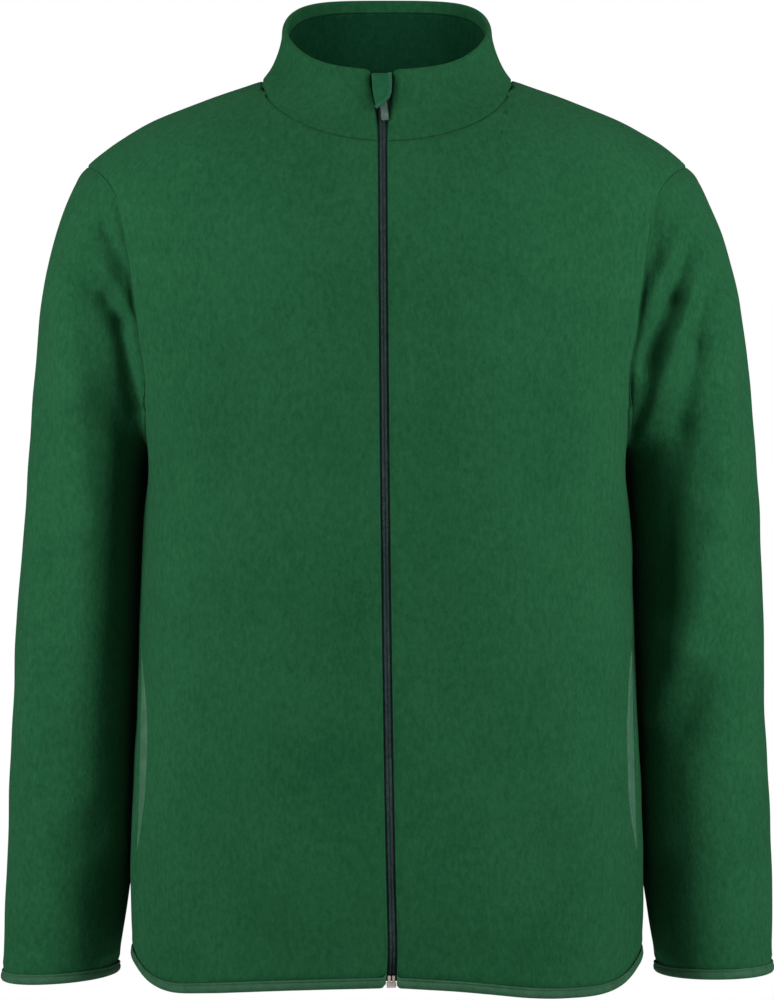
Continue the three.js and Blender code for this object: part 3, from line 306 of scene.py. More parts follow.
SLEEVE_BACK_FOLDS = [
    [222, -120, 206, -170, 10, -5.0],
    [244, -128, 208, -205, 10, 4.0],
    [250, -150, 212, -250, 12, -5.0],
    [262, -180, 240, -360, 15, 4.2],
    [236, -300, 214, -420, 14, -3.6],
    [262, -380, 232, -470, 15, 3.4],
    [248, -470, 218, -540, 14, -3.0],
]
SLEEVE = Table(
    [
        "row", "outer_right", "outer_left", "outer_z", "left_up", "inner_x", "inner_z", "front",
        "back", "outer_y", "inner_y",
    ],
    [
        [0, 239, 239, -67, 0, 184, -292, -66, 74, 10, -12],
        [1, 256, 258.5, -90, 0, 191, -297, -69, 79, 9, -8],
        [2, 267.5, 271, -125, 0, 191.4, -305, -72, 82, 8, 16],
        [3, 274, 279.5, -175, 0, 191, -320, -74, 82, 7, 32],
        [4, 279.8, 287.5, -240, 0, 193.6, -348, -73, 78, 6, 33],
        [5, 284.5, 293.5, -320, 0, 195, -390, -70, 72, 4, 31],
        [6, 291.5, 297, -410, 0, 197, -452, -66, 64, 2, 29],
        [7, 296.6, 299.5, -510, 0, 200.5, -532, -61, 54, 0, 28],
        [8, 300, 303.8, -612, 1.5, 204, -620, -56, 44, -4, 24],
        [9, 303, 303.7, -709.5, 7, 215, -707, -51, 36, -7, 16],
    ],
)
LAST_RING = 9
SLEEVE_ROUND = {"across": 0.96, "deep": 0.94}  # how square a ring is each way
SLEEVE_BLEND = 3.2  # rings over which the armhole's own shape fades out
SLEEVE_FOLDS = {"from": 0.2, "full": 1.7}  # rings over which the folds come up
SIDE_OF_FOLD = {"body": 0.35, "sleeve": 0.5}  # folds fade out as a surface turns to the side
FLAT_SHOULDER = 30  # the body's folds fade out this near the shoulder line
NEAR_SHOULDER = {"full": 110, "none": 150}  # below it, where the smooth body's normals end

# The collar's rim climbs evenly from the zip to the sides. Behind, it climbs faster at first,
# and its plan is squarer than an ellipse.
RIM = {
    "half": 83, "mid_y": -6, "deep": 80, "side_z": 40.5, "climb": 0.42, "dip": 7.4,
    "dip_from": 20, "dip_to": 80, "zip_to": 0.4,
}
RIM_BEHIND = {"rise": 34.4, "full": 0.5, "square": 0.76}
COLLAR_FLARE = 1.8
COLLAR_FULL = 2 * FLEECE + CLEAR
CORNER = {"drop": 4.2, "turn": 0.075}
RIM_SEAM_UP = 0.86


def mix(a, b, t):
    """The straight blend a + (b - a) t."""
    return a + (b - a) * t


def smooth(a, b, v):
    """A smooth step from 0 at a to 1 at b."""
    t = np.clip((v - a) / (b - a), 0, 1)
    return t * t * (3 - 2 * t)


def power(v, p):
    """|v| to the power p, with the sign of v."""
    return np.sign(v) * np.abs(v) ** p


def unit(v):
    """Each vector over its own length."""
    return v / np.maximum(np.linalg.norm(v, axis=-1, keepdims=True), 1e-12)


def points(x, y, z):
    """Places from three arrays that fit each other's shapes."""
    return np.stack(np.broadcast_arrays(x, y, z), -1).astype(float)


def fold_height(folds, x, z):
    """Sum over the folds of raise * exp(-(distance from the fold's line / wide)^2)."""
    total = np.zeros(np.broadcast(x, z).shape)
    for row in folds:
        fold = dict(zip(FOLD, row))
        dx, dz = fold["x2"] - fold["x1"], fold["z2"] - fold["z1"]
        t = np.clip(((x - fold["x1"]) * dx + (z - fold["z1"]) * dz) / (dx * dx + dz * dz), 0, 1)
        away = np.hypot(x - fold["x1"] - t * dx, z - fold["z1"] - t * dz) / fold["wide"]
        total += fold["raise"] * np.exp(-away * away)
    return total


def width_at(angle, z):
    """x on the level section: half * sin(angle)^(2/n)."""
    return BODY("half", z) * power(np.sin(angle), 2 / FULLNESS)


def angle_at(x, z):
    """The angle where the section is x wide: arcsin((x / half)^(n/2))."""
    return np.arcsin(np.minimum(power(x / BODY("half", z), FULLNESS / 2), 1))


def shoulder_roll(x, angle):
    """Height over which the cloth rolls off the shoulder line."""
    front = mix(ROLL_AT_NECK, ROLL_AT_ARM, np.minimum(np.abs(x) / SHOULDER_END, 1))
    return front * np.where(np.cos(angle) > 0, 1, BACK_ROLL)


def roll_of(x, angle, z):
    """0 on the shoulder line, PI/2 at the foot of its roll, and a steady climb below it."""
    t = (SHOULDER("z", np.abs(x)) - z) / shoulder_roll(x, angle)
    return np.where(t < 1, np.arccos(1 - np.clip(t, 0, 1)), PI / 2 + t - 1)


def height_at(x, angle, roll):
    """The height that has this roll: roll_of turned round."""
    t = np.where(roll < PI / 2, 1 - np.cos(roll), 1 + roll - PI / 2)
    return SHOULDER("z", np.abs(x)) - t * shoulder_roll(x, angle)


def smooth_body(angle, z):
    """The +X half: x = half * sin^(2/n), y = -depth * cos^(2/n), drawn in to the shoulder line
    by the sine of the roll, and hollowed under the arm."""
    angle, z = np.broadcast_arrays(np.asarray(angle, float), np.asarray(z, float))
    x = width_at(angle, z)
    depth = np.where(np.cos(angle) > 0, BODY("front", z), BODY("back", z))
    section = -depth * power(np.cos(angle), 2 / FULLNESS)
    ridge = SHOULDER("y", np.abs(x))
    y = ridge + (section - ridge) * np.sin(np.minimum(roll_of(x, angle, z), PI / 2))
    dent = np.exp(-(((y - DENT["y"]) / DENT["wide"]) ** 2) - ((z - ARMPIT_Z) / DENT["tall"]) ** 2)
    at_side = smooth(DENT["from"], 1, x / BODY("half", z))
    return points(x - DENT["depth"] * dent * at_side, y, z)


def body_normal(side, angle, z):
    """Outward direction of the smooth body, from its slopes along the angle and the height."""
    step, rise = np.radians(0.4), 1.5
    across = smooth_body(angle + step, z) - smooth_body(angle - step, z)
    up = smooth_body(angle, z + rise) - smooth_body(angle, z - rise)
    normal = unit(np.cross(across, up))
    normal[..., 0] *= side
    return normal


def body(side, angle, z):
    """The body with its folds, on one side (1 is left, -1 is right)."""
    p = smooth_body(angle, z)
    p[..., 0] *= side
    n = body_normal(side, angle, z)
    front = fold_height(BODY_FRONT_FOLDS, p[..., 0], p[..., 2])
    behind = fold_height(BODY_BACK_FOLDS, p[..., 0], p[..., 2])
    facing = smooth(0, SIDE_OF_FOLD["body"], np.abs(n[..., 1]))
    height = np.where(n[..., 1] < 0, front, behind) * facing
    height = height * smooth(0, FLAT_SHOULDER, SHOULDER("z", np.abs(p[..., 0])) - p[..., 2])
    return p + n * height[..., None]


def zip_edge(side, z):
    """How far a front's edge is from the middle plane: half the zip's gap, plus its spread round
    the top and the lean of the zip's line."""
    spread = np.where(side < 0, ZIP_LINE("spread_right", z), ZIP_LINE("spread_left", z))
    return ZIP_GAP + spread + side * ZIP_LINE("x", z)


def neck_point(turn):
    """x and z of the neck seam: turn is 0 in front, PI/2 at the shoulder, PI behind."""
    c = np.cos(turn)
    rise = np.where(c > 0, -NECK["front"] * c, NECK["back"] * c**2)
    return NECK["half"] * np.sin(turn), NECK["side"] + rise


def armhole(face, share):
    """Angle and height of the armhole seam, at a share of its length up from the armpit."""
    turn = PI * np.arange(ARMHOLE_STEPS + 1) / ARMHOLE_STEPS
    z = mix(ARMPIT_Z, SHOULDER_Z, (1 - np.cos(turn)) / 2)
    line = smooth_body(np.radians(ARMHOLE(face, z)), z)
    run = np.concatenate([[0], np.cumsum(np.linalg.norm(np.diff(line, axis=0), axis=1))])
    height = np.interp(np.asarray(share) * run[-1], run, z)
    return np.radians(ARMHOLE(face, height)), height


def welt_angle(z):
    """How far the pocket's welt eats into the front, as an angle: a lens, widest half way."""
    t = np.clip((z - POCKET["bottom"]) / (POCKET["top"] - POCKET["bottom"]), 0, 1)
    return POCKET["welt"] * np.sin(PI * t) ** POCKET["lens"] / SIDE_ARC


def side_seam(z):
    """The angle of the side seam at a height."""
    return np.radians(SIDE_SEAM("angle", z))


def crowded(count, crowd):
    """Steps from 0 to 1 that start short: (1 - crowd) t + crowd t^2."""
    t = np.linspace(0, 1, count + 1)
    return (1 - crowd) * t + crowd * t * t


# Columns of a panel run from its middle (0) by the neck's end of the shoulder (1/2) to its
# side (1). Rows run from the hem to the armpit, then up to the shoulder.
TO_NECK = crowded(HALF_PANEL, CROWD["across"]) / 2
COLUMNS = np.concatenate([TO_NECK, 1 - TO_NECK[-2::-1]])
LOW = crowded(LOW_ROWS, CROWD["low"])
HIGH = 1 - crowded(HIGH_ROWS, CROWD["high"])[::-1]


def low_rows(side, columns, start, last, turned):
    """Rows below the armpit: the height goes evenly from the hem to the armpit, and the angle
    from the middle to the side."""
    t, u = LOW[:, None], columns[None, :]
    angle = np.zeros((len(LOW), len(columns)))
    for _ in range(ROUNDS["low"]):
        z = mix(HEM("right" if side < 0 else "left", np.degrees(angle)), ARMPIT_Z, t)
        angle = mix(turned(angle_at(start(z), z)), last(z), u)
    return body(side, angle, z)


def high_rows(face, side, columns, start, turned):
    """Rows above the armpit: the angle and the rise towards the shoulder line are blended
    between the panel's four edges (a Coons patch)."""
    w, u = HIGH[1:, None], columns[None, :]

    def rise_of(x, angle, z):
        """0 level with the armpit, 1 on the shoulder line."""
        return 1 - roll_of(x, angle, z) / roll_of(x, angle, ARMPIT_Z)

    seam_turn = np.arcsin(start(neck_point(turned(0.0))[1]) / NECK["half"])

    def middle(w):
        """Straight up the panel's middle to the neck seam."""
        z = mix(ARMPIT_Z, neck_point(turned(seam_turn))[1], w)
        x = start(z)
        angle = turned(angle_at(x, z))
        return np.array([angle, rise_of(x, angle, z)])

    def low(u):
        """Level with the armpit, the angle going evenly to the side."""
        angle = mix(turned(angle_at(start(ARMPIT_Z), ARMPIT_Z)), side_seam(ARMPIT_Z), u)
        return np.array([angle, 0 * angle])

    def edge(w):
        """Up the armhole seam."""
        angle, z = armhole(face, w)
        return np.array([angle, rise_of(width_at(angle, z), angle, z)])

    def top(u):
        """Round the neck seam, then out along the shoulder line."""
        share = np.minimum(u * 2, 1)
        x, z = neck_point(turned(mix(seam_turn, PI / 2, share)))
        out = np.maximum(u * 2 - 1, 0)
        x = np.where(out > 0, mix(NECK["half"], SHOULDER_END, out), x)
        z = np.where(out > 0, SHOULDER("z", x), z)
        angle = turned(angle_at(x, z))
        return np.array([angle, np.where(out > 0, 1, rise_of(x, angle, z))])

    straight = mix(low(u), top(u), w) + mix(middle(w), edge(w), u)
    corners = [a(np.array([[v]])) for a in (low, top) for v in (0.0, 1.0)]
    angle, rise = straight - mix(mix(corners[0], corners[1], u), mix(corners[2], corners[3], u), w)
    z = np.full_like(angle, float(SHOULDER_Z))
    for _ in range(ROUNDS["high"]):
        x = width_at(angle, z)
        z = height_at(x, angle, np.maximum(1 - rise, 0) * roll_of(x, angle, ARMPIT_Z))
    return body(side, angle, z)


def front_rows(side):
    """A front, from the zip's edge to the side seam or the pocket's welt."""

    def start(z):
        """Its inner edge is at the zip."""
        return zip_edge(side, z)

    def last(z):
        """Its outer edge gives way to the welt."""
        return side_seam(z) - welt_angle(z)

    def turned(angle):
        """Its angles count from the middle in front."""
        return angle

    low = low_rows(side, COLUMNS, start, last, turned)
    return np.concatenate([low, high_rows("front", side, COLUMNS, start, turned)])


def back_rows():
    """The back, its right half turned round and joined to its left half."""

    def start(z):
        """Each half starts on the middle plane."""
        return 0 * np.asarray(z, float)

    def turned(angle):
        """Angles from the middle behind become angles from the front."""
        return PI - angle

    halves = []
    for side in (-1, 1):
        low = low_rows(side, COLUMNS, start, side_seam, turned)
        halves.append(np.concatenate([low, high_rows("back", side, COLUMNS, start, turned)]))
    return np.concatenate([halves[0][:, :0:-1], halves[1]], axis=1)


def sleeve_turns():
    """Places round a sleeve: 0 at the shoulder, PI at the armpit, and back up behind."""
    return np.concatenate([PI * (1 - HIGH[:0:-1]), PI * (1 + HIGH[:-1])])


def armhole_line(side):
    """The armhole's seam, at the sleeve's own turns."""
    front, back = (body(side, *armhole(face, HIGH)) for face in ("front", "back"))
    return np.concatenate([front[:0:-1], back[:-1]])


def smooth_sleeve(side, row, turn):
    """Each ring is an ellipse through its outer and inner points, and the first rings keep part
    of the armhole's own shape."""
    ring = {name: SLEEVE(name, row) for name in SLEEVE.columns}
    outer_x, up = (ring["outer_right"], 0) if side < 0 else (ring["outer_left"], ring["left_up"])
    outer = points(outer_x, ring["outer_y"], ring["outer_z"] + up)
    inner = points(ring["inner_x"], ring["inner_y"], ring["inner_z"])
    centre, half = (outer + inner) / 2, (outer - inner) / 2
    p = centre + half * power(np.cos(turn), SLEEVE_ROUND["across"])[..., None]
    reach = np.where(np.sin(turn) > 0, ring["front"], ring["back"]) - centre[..., 1]
    p[..., 1] += reach * np.abs(np.sin(turn)) ** SLEEVE_ROUND["deep"]
    p[..., 0] *= side
    return p


def sleeve_rows(side):
    """Rings from the armhole to the cuff, with their folds along the normals."""
    turn = sleeve_turns()[None, :]
    row = np.linspace(0, LAST_RING, SLEEVE_ROWS + 1)[:, None]
    own = (1 - smooth(0, SLEEVE_BLEND, row))[..., None]
    p = mix(smooth_sleeve(side, row, turn), armhole_line(side)[None], own)
    n = grid_normals(p, closed=True, flip=side < 0)
    folds = RIGHT_SLEEVE_FRONT_FOLDS if side < 0 else LEFT_SLEEVE_FRONT_FOLDS
    front = fold_height(folds, p[..., 0], p[..., 2])
    behind = fold_height(SLEEVE_BACK_FOLDS, np.abs(p[..., 0]), p[..., 2])
    facing = smooth(0, SIDE_OF_FOLD["sleeve"], np.abs(n[..., 1]))
    come_up = smooth(SLEEVE_FOLDS["from"], SLEEVE_FOLDS["full"], row)
    height = np.where(n[..., 1] < 0, front, behind) * facing * come_up
    return p + n * height[..., None]


def collar_point(side, turn, up):
    """From the neck seam (up 0) to the rim (up 1). The share of the way in from the seam's plan
    to the rim's is 1 - (1 - up)^flare, and the height goes evenly."""
    x0, z0 = neck_point(turn)
    angle = angle_at(x0, z0)
    foot = body(side, np.where(np.cos(turn) > 0, angle, PI - angle), z0)
    front_z = neck_point(0.0)[1]
    first = np.arcsin(zip_edge(side, front_z) / NECK["half"])
    y = RIM["mid_y"] - RIM["deep"] * np.cos(turn)
    from_zip = np.clip((turn - first) / CORNER["turn"], 0, 1)
    corner = CORNER["drop"] * (1 - np.sqrt(1 - (1 - from_zip) ** 2))
    behind = np.maximum(-np.cos(turn), 0)
    rise = RIM_BEHIND["rise"] * behind * (1 + RIM_BEHIND["full"] * (1 - behind))
    climb = RIM["climb"] * np.minimum(y, RIM["mid_y"])
    dip = RIM["dip"] * smooth(RIM["dip_from"], RIM["dip_to"], -y)
    top = RIM["side_z"] + climb + rise - dip - corner
    z = mix(foot[..., 2], top, up)
    slide = 1 - (1 - up) ** COLLAR_FLARE
    edge = zip_edge(side, z) - mix(NECK["half"], RIM["half"], slide) * np.sin(first)
    rim_x = RIM["half"] * np.sin(turn) ** np.where(behind > 0, RIM_BEHIND["square"], 1)
    x = mix(x0, rim_x, slide) + edge * (1 - smooth(first, RIM["zip_to"], turn))
    return points(side * x, mix(foot[..., 1], y, slide), z)


def collar_columns(side):
    """Turns round half the collar, from the zip to the shoulder and on to the middle behind."""
    first = np.arcsin(zip_edge(side, neck_point(0.0)[1]) / NECK["half"])
    share = COLUMNS[: HALF_PANEL + 1] * 2
    return np.concatenate([mix(first, PI / 2, share), PI - PI / 2 * share[-2::-1]])


def collar_rows(ups):
    """The collar's two halves as one grid, joined at the middle behind."""
    halves = [collar_point(side, collar_columns(side)[None, :], ups[:, None]) for side in (-1, 1)]
    return np.concatenate([halves[0], halves[1][:, -2::-1]], axis=1)


def grid_normals(p, closed=False, flip=False):
    """Unit normals of a grid from the cross product of its slopes."""
    if closed:
        across = np.roll(p, -1, axis=1) - np.roll(p, 1, axis=1)
    else:
        across = np.gradient(p, axis=1)
    normals = unit(np.cross(across, np.gradient(p, axis=0)))
    return -normals if flip else normals


def shoulder_normals(rows, normals, behind):
    """Near the shoulder line, where the columns crowd at the neck's corner, the normals are
    those of the smooth body."""
    x, z = np.abs(rows[..., 0]), rows[..., 2]
    angle = angle_at(x, z)
    own = body_normal(np.sign(rows[..., 0]), PI - angle if behind else angle, z)
    near = 1 - smooth(NEAR_SHOULDER["full"], NEAR_SHOULDER["none"], SHOULDER("z", x) - z)
    return unit(mix(normals, own, near[..., None]))


class Cloth:
    """A grid of outer points with outward normals. A body panel says if it is behind."""

    def __init__(self, part, rows, closed=False, flip=False, behind=None):
        self.part, self.rows, self.closed = part, rows, closed
        self.normals = grid_normals(rows, closed, flip)
        if behind is not None:
            self.normals = shoulder_normals(rows, self.normals, behind)

    def rim_index(self):
        """Rows and columns of the points on the grid's free edges."""
        m, n = self.rows.shape[:2]
        r, c = np.meshgrid(np.arange(m), np.arange(n), indexing="ij")
        edge = (r == 0) | (r == m - 1)
        if not self.closed:
            edge |= (c == 0) | (c == n - 1)
        return np.nonzero(edge)


def share_normals(cloths):
    """Along each seam the pieces take one normal: every part's own mean there counts once."""
    places = [cloth.rim_index() for cloth in cloths]
    spots = np.concatenate([cloth.rows[at] for cloth, at in zip(cloths, places)])
    own = np.concatenate([cloth.normals[at] for cloth, at in zip(cloths, places)])
    part = np.concatenate([[cloth.part] * len(at[0]) for cloth, at in zip(cloths, places)])
    near = np.ones((len(spots), len(spots)), bool)
    for axis in range(3):
        near &= np.abs(spots[:, None, axis] - spots[None, :, axis]) < SAME_PLACE
    total = np.zeros_like(own)
    for name in sorted(set(part)):
        total += unit((near & (part == name)[None, :]).astype(float) @ own)
    start = 0
    for cloth, at in zip(cloths, places):
        cloth.normals[at] = unit(total[start : start + len(at[0])])
        start += len(at[0])


def along(rows, axis):
    """Distance from a grid's first line along an axis, following the surface."""
    steps = np.linalg.norm(np.diff(rows, axis=axis), axis=-1)
    lead = [(1, 0), (0, 0)] if axis == 0 else [(0, 0), (1, 0)]
    return np.cumsum(np.pad(steps, lead), axis=axis)


def distance_to(p, line):
    """Shortest distance from each point to a line of points: the foot of the perpendicular on
    every stretch of the line, kept between the stretch's ends."""
    flat, start, way = p.reshape(-1, 3), line[:-1], np.diff(line, axis=0)
    length = np.maximum(np.sum(way * way, axis=1), 1e-9)
    ahead = flat @ way.T - np.sum(start * way, axis=1)
    t = np.clip(ahead / length, 0, 1)
    to_start = np.sum(flat**2, axis=1)[:, None] - 2 * flat @ start.T + np.sum(start**2, axis=1)
    square = to_start - 2 * t * ahead + t * t * length
    return np.sqrt(np.maximum(square.min(axis=1), 0)).reshape(p.shape[:-1])


def seam_turn_in(distance, deep=SEAM_TURN["deep"], wide=SEAM_TURN["wide"]):
    """Height of the cloth beside a seam: -deep * exp(-(distance / wide)^2), and a swell of the
    same form three widths away."""
    groove = -deep * np.exp(-((distance / wide) ** 2))
    swell = np.exp(-(((distance - 3 * wide) / SEAM_TURN["swell_wide"]) ** 2))
    return groove + SEAM_TURN["swell"] * swell


def top_turn_in(rows, line, *corners):
    """Beside the neck, shoulder and armhole seams, fading out at the neck's corners."""
    depth = seam_turn_in(distance_to(rows, line))
    for corner in corners:
        depth *= 1 - np.exp(-(np.linalg.norm(rows - corner, axis=-1) / NECK_CALM) ** 2)
    return depth


def side_turn_in(rows, line):
    """Beside a side seam the cloth turns in, more where the seam shows from the front."""
    low = smooth(SIDE_TURN["from"], SIDE_TURN["to"], rows[..., 2])
    deep = mix(SIDE_TURN["high"], SIDE_TURN["low"], low)
    return seam_turn_in(distance_to(rows, line), deep, SIDE_TURN["wide"])


def pulled_back(rows, far, axis, last):
    """The grid with one edge line moved in by a distance along the surface."""
    rows = rows.copy()
    line, inner = (-1, -2) if last else (0, 1)
    edge, near = np.take(rows, line, axis), np.take(rows, inner, axis)
    moved = edge + unit(near - edge) * far
    if axis == 0:
        rows[line] = moved
    else:
        rows[:, line] = moved
    return rows


def shell(outer, inner, closed=False):
    """Vertices and faces of a closed wall between two grids of points."""
    m, n = outer.shape[:2]
    index = np.arange(2 * m * n).reshape(2, m, n)
    if closed:
        index = np.concatenate([index, index[:, :, :1]], axis=2)
    a, b = index

    def quads(g):
        """The squares of a grid."""
        return np.stack([g[:-1, :-1], g[:-1, 1:], g[1:, 1:], g[1:, :-1]], -1).reshape(-1, 4)

    def band(one, two):
        """The squares between two lines of points."""
        return np.stack([one[:-1], two[:-1], two[1:], one[1:]], -1)

    faces = [quads(a), quads(b)[:, ::-1], band(a[0], b[0]), band(b[-1], a[-1])]
    if not closed:
        faces += [band(b[:, 0], a[:, 0]), band(a[:, -1], b[:, -1])]
    return np.concatenate([outer.reshape(-1, 3), inner.reshape(-1, 3)]), [np.concatenate(faces)]


def volume(vertices, kinds):
    """Six times the volume inside, from a fan of triangles over each face."""
    total = 0
    for faces in kinds:
        for k in range(1, faces.shape[1] - 1):
            a, b, c = (vertices[faces[:, i]] for i in (0, k, k + 1))
            total += np.sum(a * np.cross(b, c))
    return total


def add_mesh(name, vertices, kinds, material, replaced, slot, rides="jacket"):
    """One piece, outward-facing, smooth, at the origin, in metres."""
    if volume(vertices, kinds) < 0:
        kinds = [faces[:, ::-1] for faces in kinds]
    mesh = bpy.data.meshes.new(name)
    mesh.from_pydata(vertices * MM, [], [face for faces in kinds for face in faces.tolist()])
    mesh.polygons.foreach_set("use_smooth", np.ones(len(mesh.polygons), bool))
    mesh.materials.append(material)
    mesh.update()
    piece = new_object(name, mesh)
    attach(piece, rides)
    if replaced:
        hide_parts(*replaced)
    return piece


# Materials


class Wire:
    """A number in a material. Each operator adds one Math node."""

    def __init__(self, tree, socket):
        self.tree, self.socket = tree, socket

    def math(self, operation, *values, clamp=False):
        """A Math node on these values, each of them a wire or a plain number."""
        node = self.tree.nodes.new("ShaderNodeMath")
        node.operation = operation
        node.use_clamp = clamp
        for socket, value in zip(node.inputs, values):
            if isinstance(value, Wire):
                self.tree.links.new(value.socket, socket)
            else:
                socket.default_value = value
        return Wire(self.tree, node.outputs[0])

    def __add__(self, other):
        return self.math("ADD", self, other)

    def __sub__(self, other):
        return self.math("SUBTRACT", self, other)

    def __rsub__(self, other):
        return self.math("SUBTRACT", other, self)

    def __mul__(self, other):
        return self.math("MULTIPLY", self, other)

    __radd__, __rmul__ = __add__, __mul__

    def between(self, low, high):
        """0 below low, 1 above high."""
        return self.math("MULTIPLY_ADD", self, 1 / (high - low), -low / (high - low), clamp=True)


class Nodes:
    """The nodes of a material or of the world, each added by its node method."""

    def __init__(self, owner):
        owner.use_nodes = True
        self.tree = owner.node_tree
        self.tree.nodes.clear()

    def node(self, kind, settings, sockets, output=0):
        """Adds a node: its settings first, then a value or a link for each socket."""
        node = self.tree.nodes.new(kind)
        for name, value in settings.items():
            setattr(node, name, value)
        for name, value in sockets.items():
            if isinstance(value, Wire):
                self.tree.links.new(value.socket, node.inputs[name])
            else:
                node.inputs[name].default_value = value
        return Wire(self.tree, node.outputs[output]) if node.outputs else None


class Finish(Nodes):
    """A material on Object coordinates."""

    def __init__(self, name):
        self.material = bpy.data.materials.new(name)
        super().__init__(self.material)
        self.place = self.node("ShaderNodeTexCoord", {}, {}, "Object")

    def noise(self, scale, detail, roughness, place=None):
        """Noise with about scale clumps to the metre, evenly round 0.5."""
        sockets = {"Scale": scale, "Detail": detail, "Roughness": roughness}
        return self.node("ShaderNodeTexNoise", {}, {"Vector": place or self.place, **sockets})

    def stretched(self, factors):
        """The place times a factor each way."""
        return self.node("ShaderNodeMapping", {}, {"Vector": self.place, "Scale": factors})

    def shade(self, low, high, factor):
        """A colour between two, by a factor."""
        sockets = {0: factor, 6: (*low, 1), 7: (*high, 1)}
        return self.node("ShaderNodeMix", {"data_type": "RGBA"}, sockets, 2)

    def bump(self, height, strength, distance):
        """The surface's direction, tipped by the slope of a height."""
        sockets = {"Height": height, "Strength": strength, "Distance": distance}
        return self.node("ShaderNodeBump", {}, sockets)

    def surface(self, **sockets):
        """Ends the material with these sockets of its shader."""
        named = {name.replace("_", " "): value for name, value in sockets.items()}
        shader = self.node("ShaderNodeBsdfPrincipled", {}, named)
        self.node("ShaderNodeOutputMaterial", {}, {"Surface": shader})
        return self.material


TONES = 0.38, 0.62  # most of a mixed noise lies between these


def fleece_finish(name, dark, light):
    """Short brushed pile: soft clumps a few millimetres wide over fine fibres."""
    finish = Finish(name)
    nap = finish.stretched((1, 1, 0.55))
    clumps = finish.noise(scale=290, detail=3, roughness=0.55, place=nap)
    pile = finish.noise(scale=760, detail=4, roughness=0.65, place=nap)
    fibre = finish.noise(scale=2300, detail=2, roughness=0.7)
    worn = finish.noise(scale=14, detail=2, roughness=0.5)
    tone = clumps * 0.45 + pile * 0.35 + worn * 0.2
    height = clumps * 0.9 + pile * 0.8 + fibre * 0.25
    return finish.surface(
        Base_Color=finish.shade(dark, light, tone.between(*TONES)),
        Normal=finish.bump(height, strength=0.55, distance=0.0011),
        Roughness=0.95,
        Specular_IOR_Level=0.0,
        Sheen_Weight=0.12,
        Sheen_Roughness=0.45,
        Sheen_Tint=(0.25, 0.6, 0.36, 1),
    )


def knit_finish(name, dark, light, ribs):
    """Smooth stretch knit with a slight shine. Below 1, ribs draws its grain out up the piece,
    and above 1 across it."""
    finish = Finish(name)
    cloth = finish.noise(scale=1500, detail=2, roughness=0.5, place=finish.stretched((1, 1, ribs)))
    broad = finish.noise(scale=120, detail=2, roughness=0.5)
    tone = cloth * 0.6 + broad * 0.4
    return finish.surface(
        Base_Color=finish.shade(dark, light, tone.between(*TONES)),
        Normal=finish.bump(cloth, strength=0.35, distance=0.0004),
        Roughness=0.72,
        Specular_IOR_Level=0.2,
        Sheen_Weight=0.12,
        Sheen_Roughness=0.4,
        Sheen_Tint=(0.4, 0.75, 0.5, 1),
    )


def hard_finish(name, dark, light, rough, metallic=0.0):
    """Plated or moulded small parts, a little uneven in tone."""
    finish = Finish(name)
    cloud = finish.noise(scale=260, detail=3, roughness=0.6)
    grain = finish.noise(scale=1400, detail=2, roughness=0.5)
    return finish.surface(
        Base_Color=finish.shade(dark, light, cloud.between(0.35, 0.65)),
        Roughness=cloud * 0.15 + rough,
        Metallic=metallic,
        Normal=finish.bump(grain, strength=0.12, distance=0.0002),
    )


GREEN = fleece_finish("fleece", (0.0105, 0.069, 0.0265), (0.0185, 0.101, 0.0415))
# The collar facing's fleece: the same fleece made darker, painted shade for the shade inside the collar
INSIDE_PAINTED_SHADE = fleece_finish("fleece_inside_painted_shade", (0.0035, 0.032, 0.0135), (0.0065, 0.05, 0.0215))
BINDING = knit_finish("binding_knit", (0.017, 0.077, 0.036), (0.033, 0.112, 0.056), ribs=0.35)
POCKET_CLOTH = knit_finish("pocket_knit", (0.013, 0.07, 0.032), (0.03, 0.11, 0.055), ribs=1)
TAPE = knit_finish("zip_tape", (0.008, 0.022, 0.02), (0.02, 0.042, 0.04), ribs=3)
COIL = hard_finish("zip_coil", (0.014, 0.038, 0.038), (0.045, 0.088, 0.09), rough=0.45)
GARAGE = knit_finish("garage_cloth", (0.002, 0.06, 0.023), (0.006, 0.09, 0.037), ribs=1)
# The welt: the binding's green knit made lighter; the lift is painted highlight for the light on the
# welt's rolled edge
WELT_PAINTED_HIGHLIGHT = knit_finish("welt_knit", (0.03, 0.1, 0.055), (0.055, 0.15, 0.09), ribs=0.35)
EDGING = knit_finish("overlock_thread", (0.014, 0.115, 0.058), (0.034, 0.18, 0.1), ribs=1)
THREAD = knit_finish("thread", (0.02, 0.1, 0.05), (0.05, 0.17, 0.1), ribs=1)
PULL = hard_finish("pull_enamel", (0.045, 0.088, 0.066), (0.09, 0.155, 0.12), rough=0.4, metallic=0.2)
DARK_METAL = hard_finish(
    "painted_metal", (0.02, 0.045, 0.035), (0.05, 0.09, 0.075), rough=0.35, metallic=0.5
)
METAL = hard_finish(
    "plated_metal", (0.98, 0.79, 0.7), (1.0, 0.92, 0.84), rough=0.32, metallic=0.1
)
FLOOR = hard_finish("floor_paint", (0.75, 0.75, 0.74), (0.8, 0.8, 0.8), rough=0.7)

# Cloth panels
COLLAR_UP = np.concatenate([
    crowded(COLLAR_ROWS["low"], CROWD["collar"]) * RIM_SEAM_UP,
    np.linspace(RIM_SEAM_UP, 1, COLLAR_ROWS["high"] + 1)[1:],
])
cloths = {
    "back": Cloth("body", back_rows(), flip=True, behind=True),
    "collar": Cloth("collar", collar_rows(COLLAR_UP), flip=True),
}
SIDES = {"right": -1, "left": 1}
for word, side in SIDES.items():
    cloths[f"front_{word}"] = Cloth("body", front_rows(side), flip=side < 0, behind=False)
    cloths[f"sleeve_{word}"] = Cloth("sleeve", sleeve_rows(side), closed=True, flip=side < 0)
share_normals(list(cloths.values()))

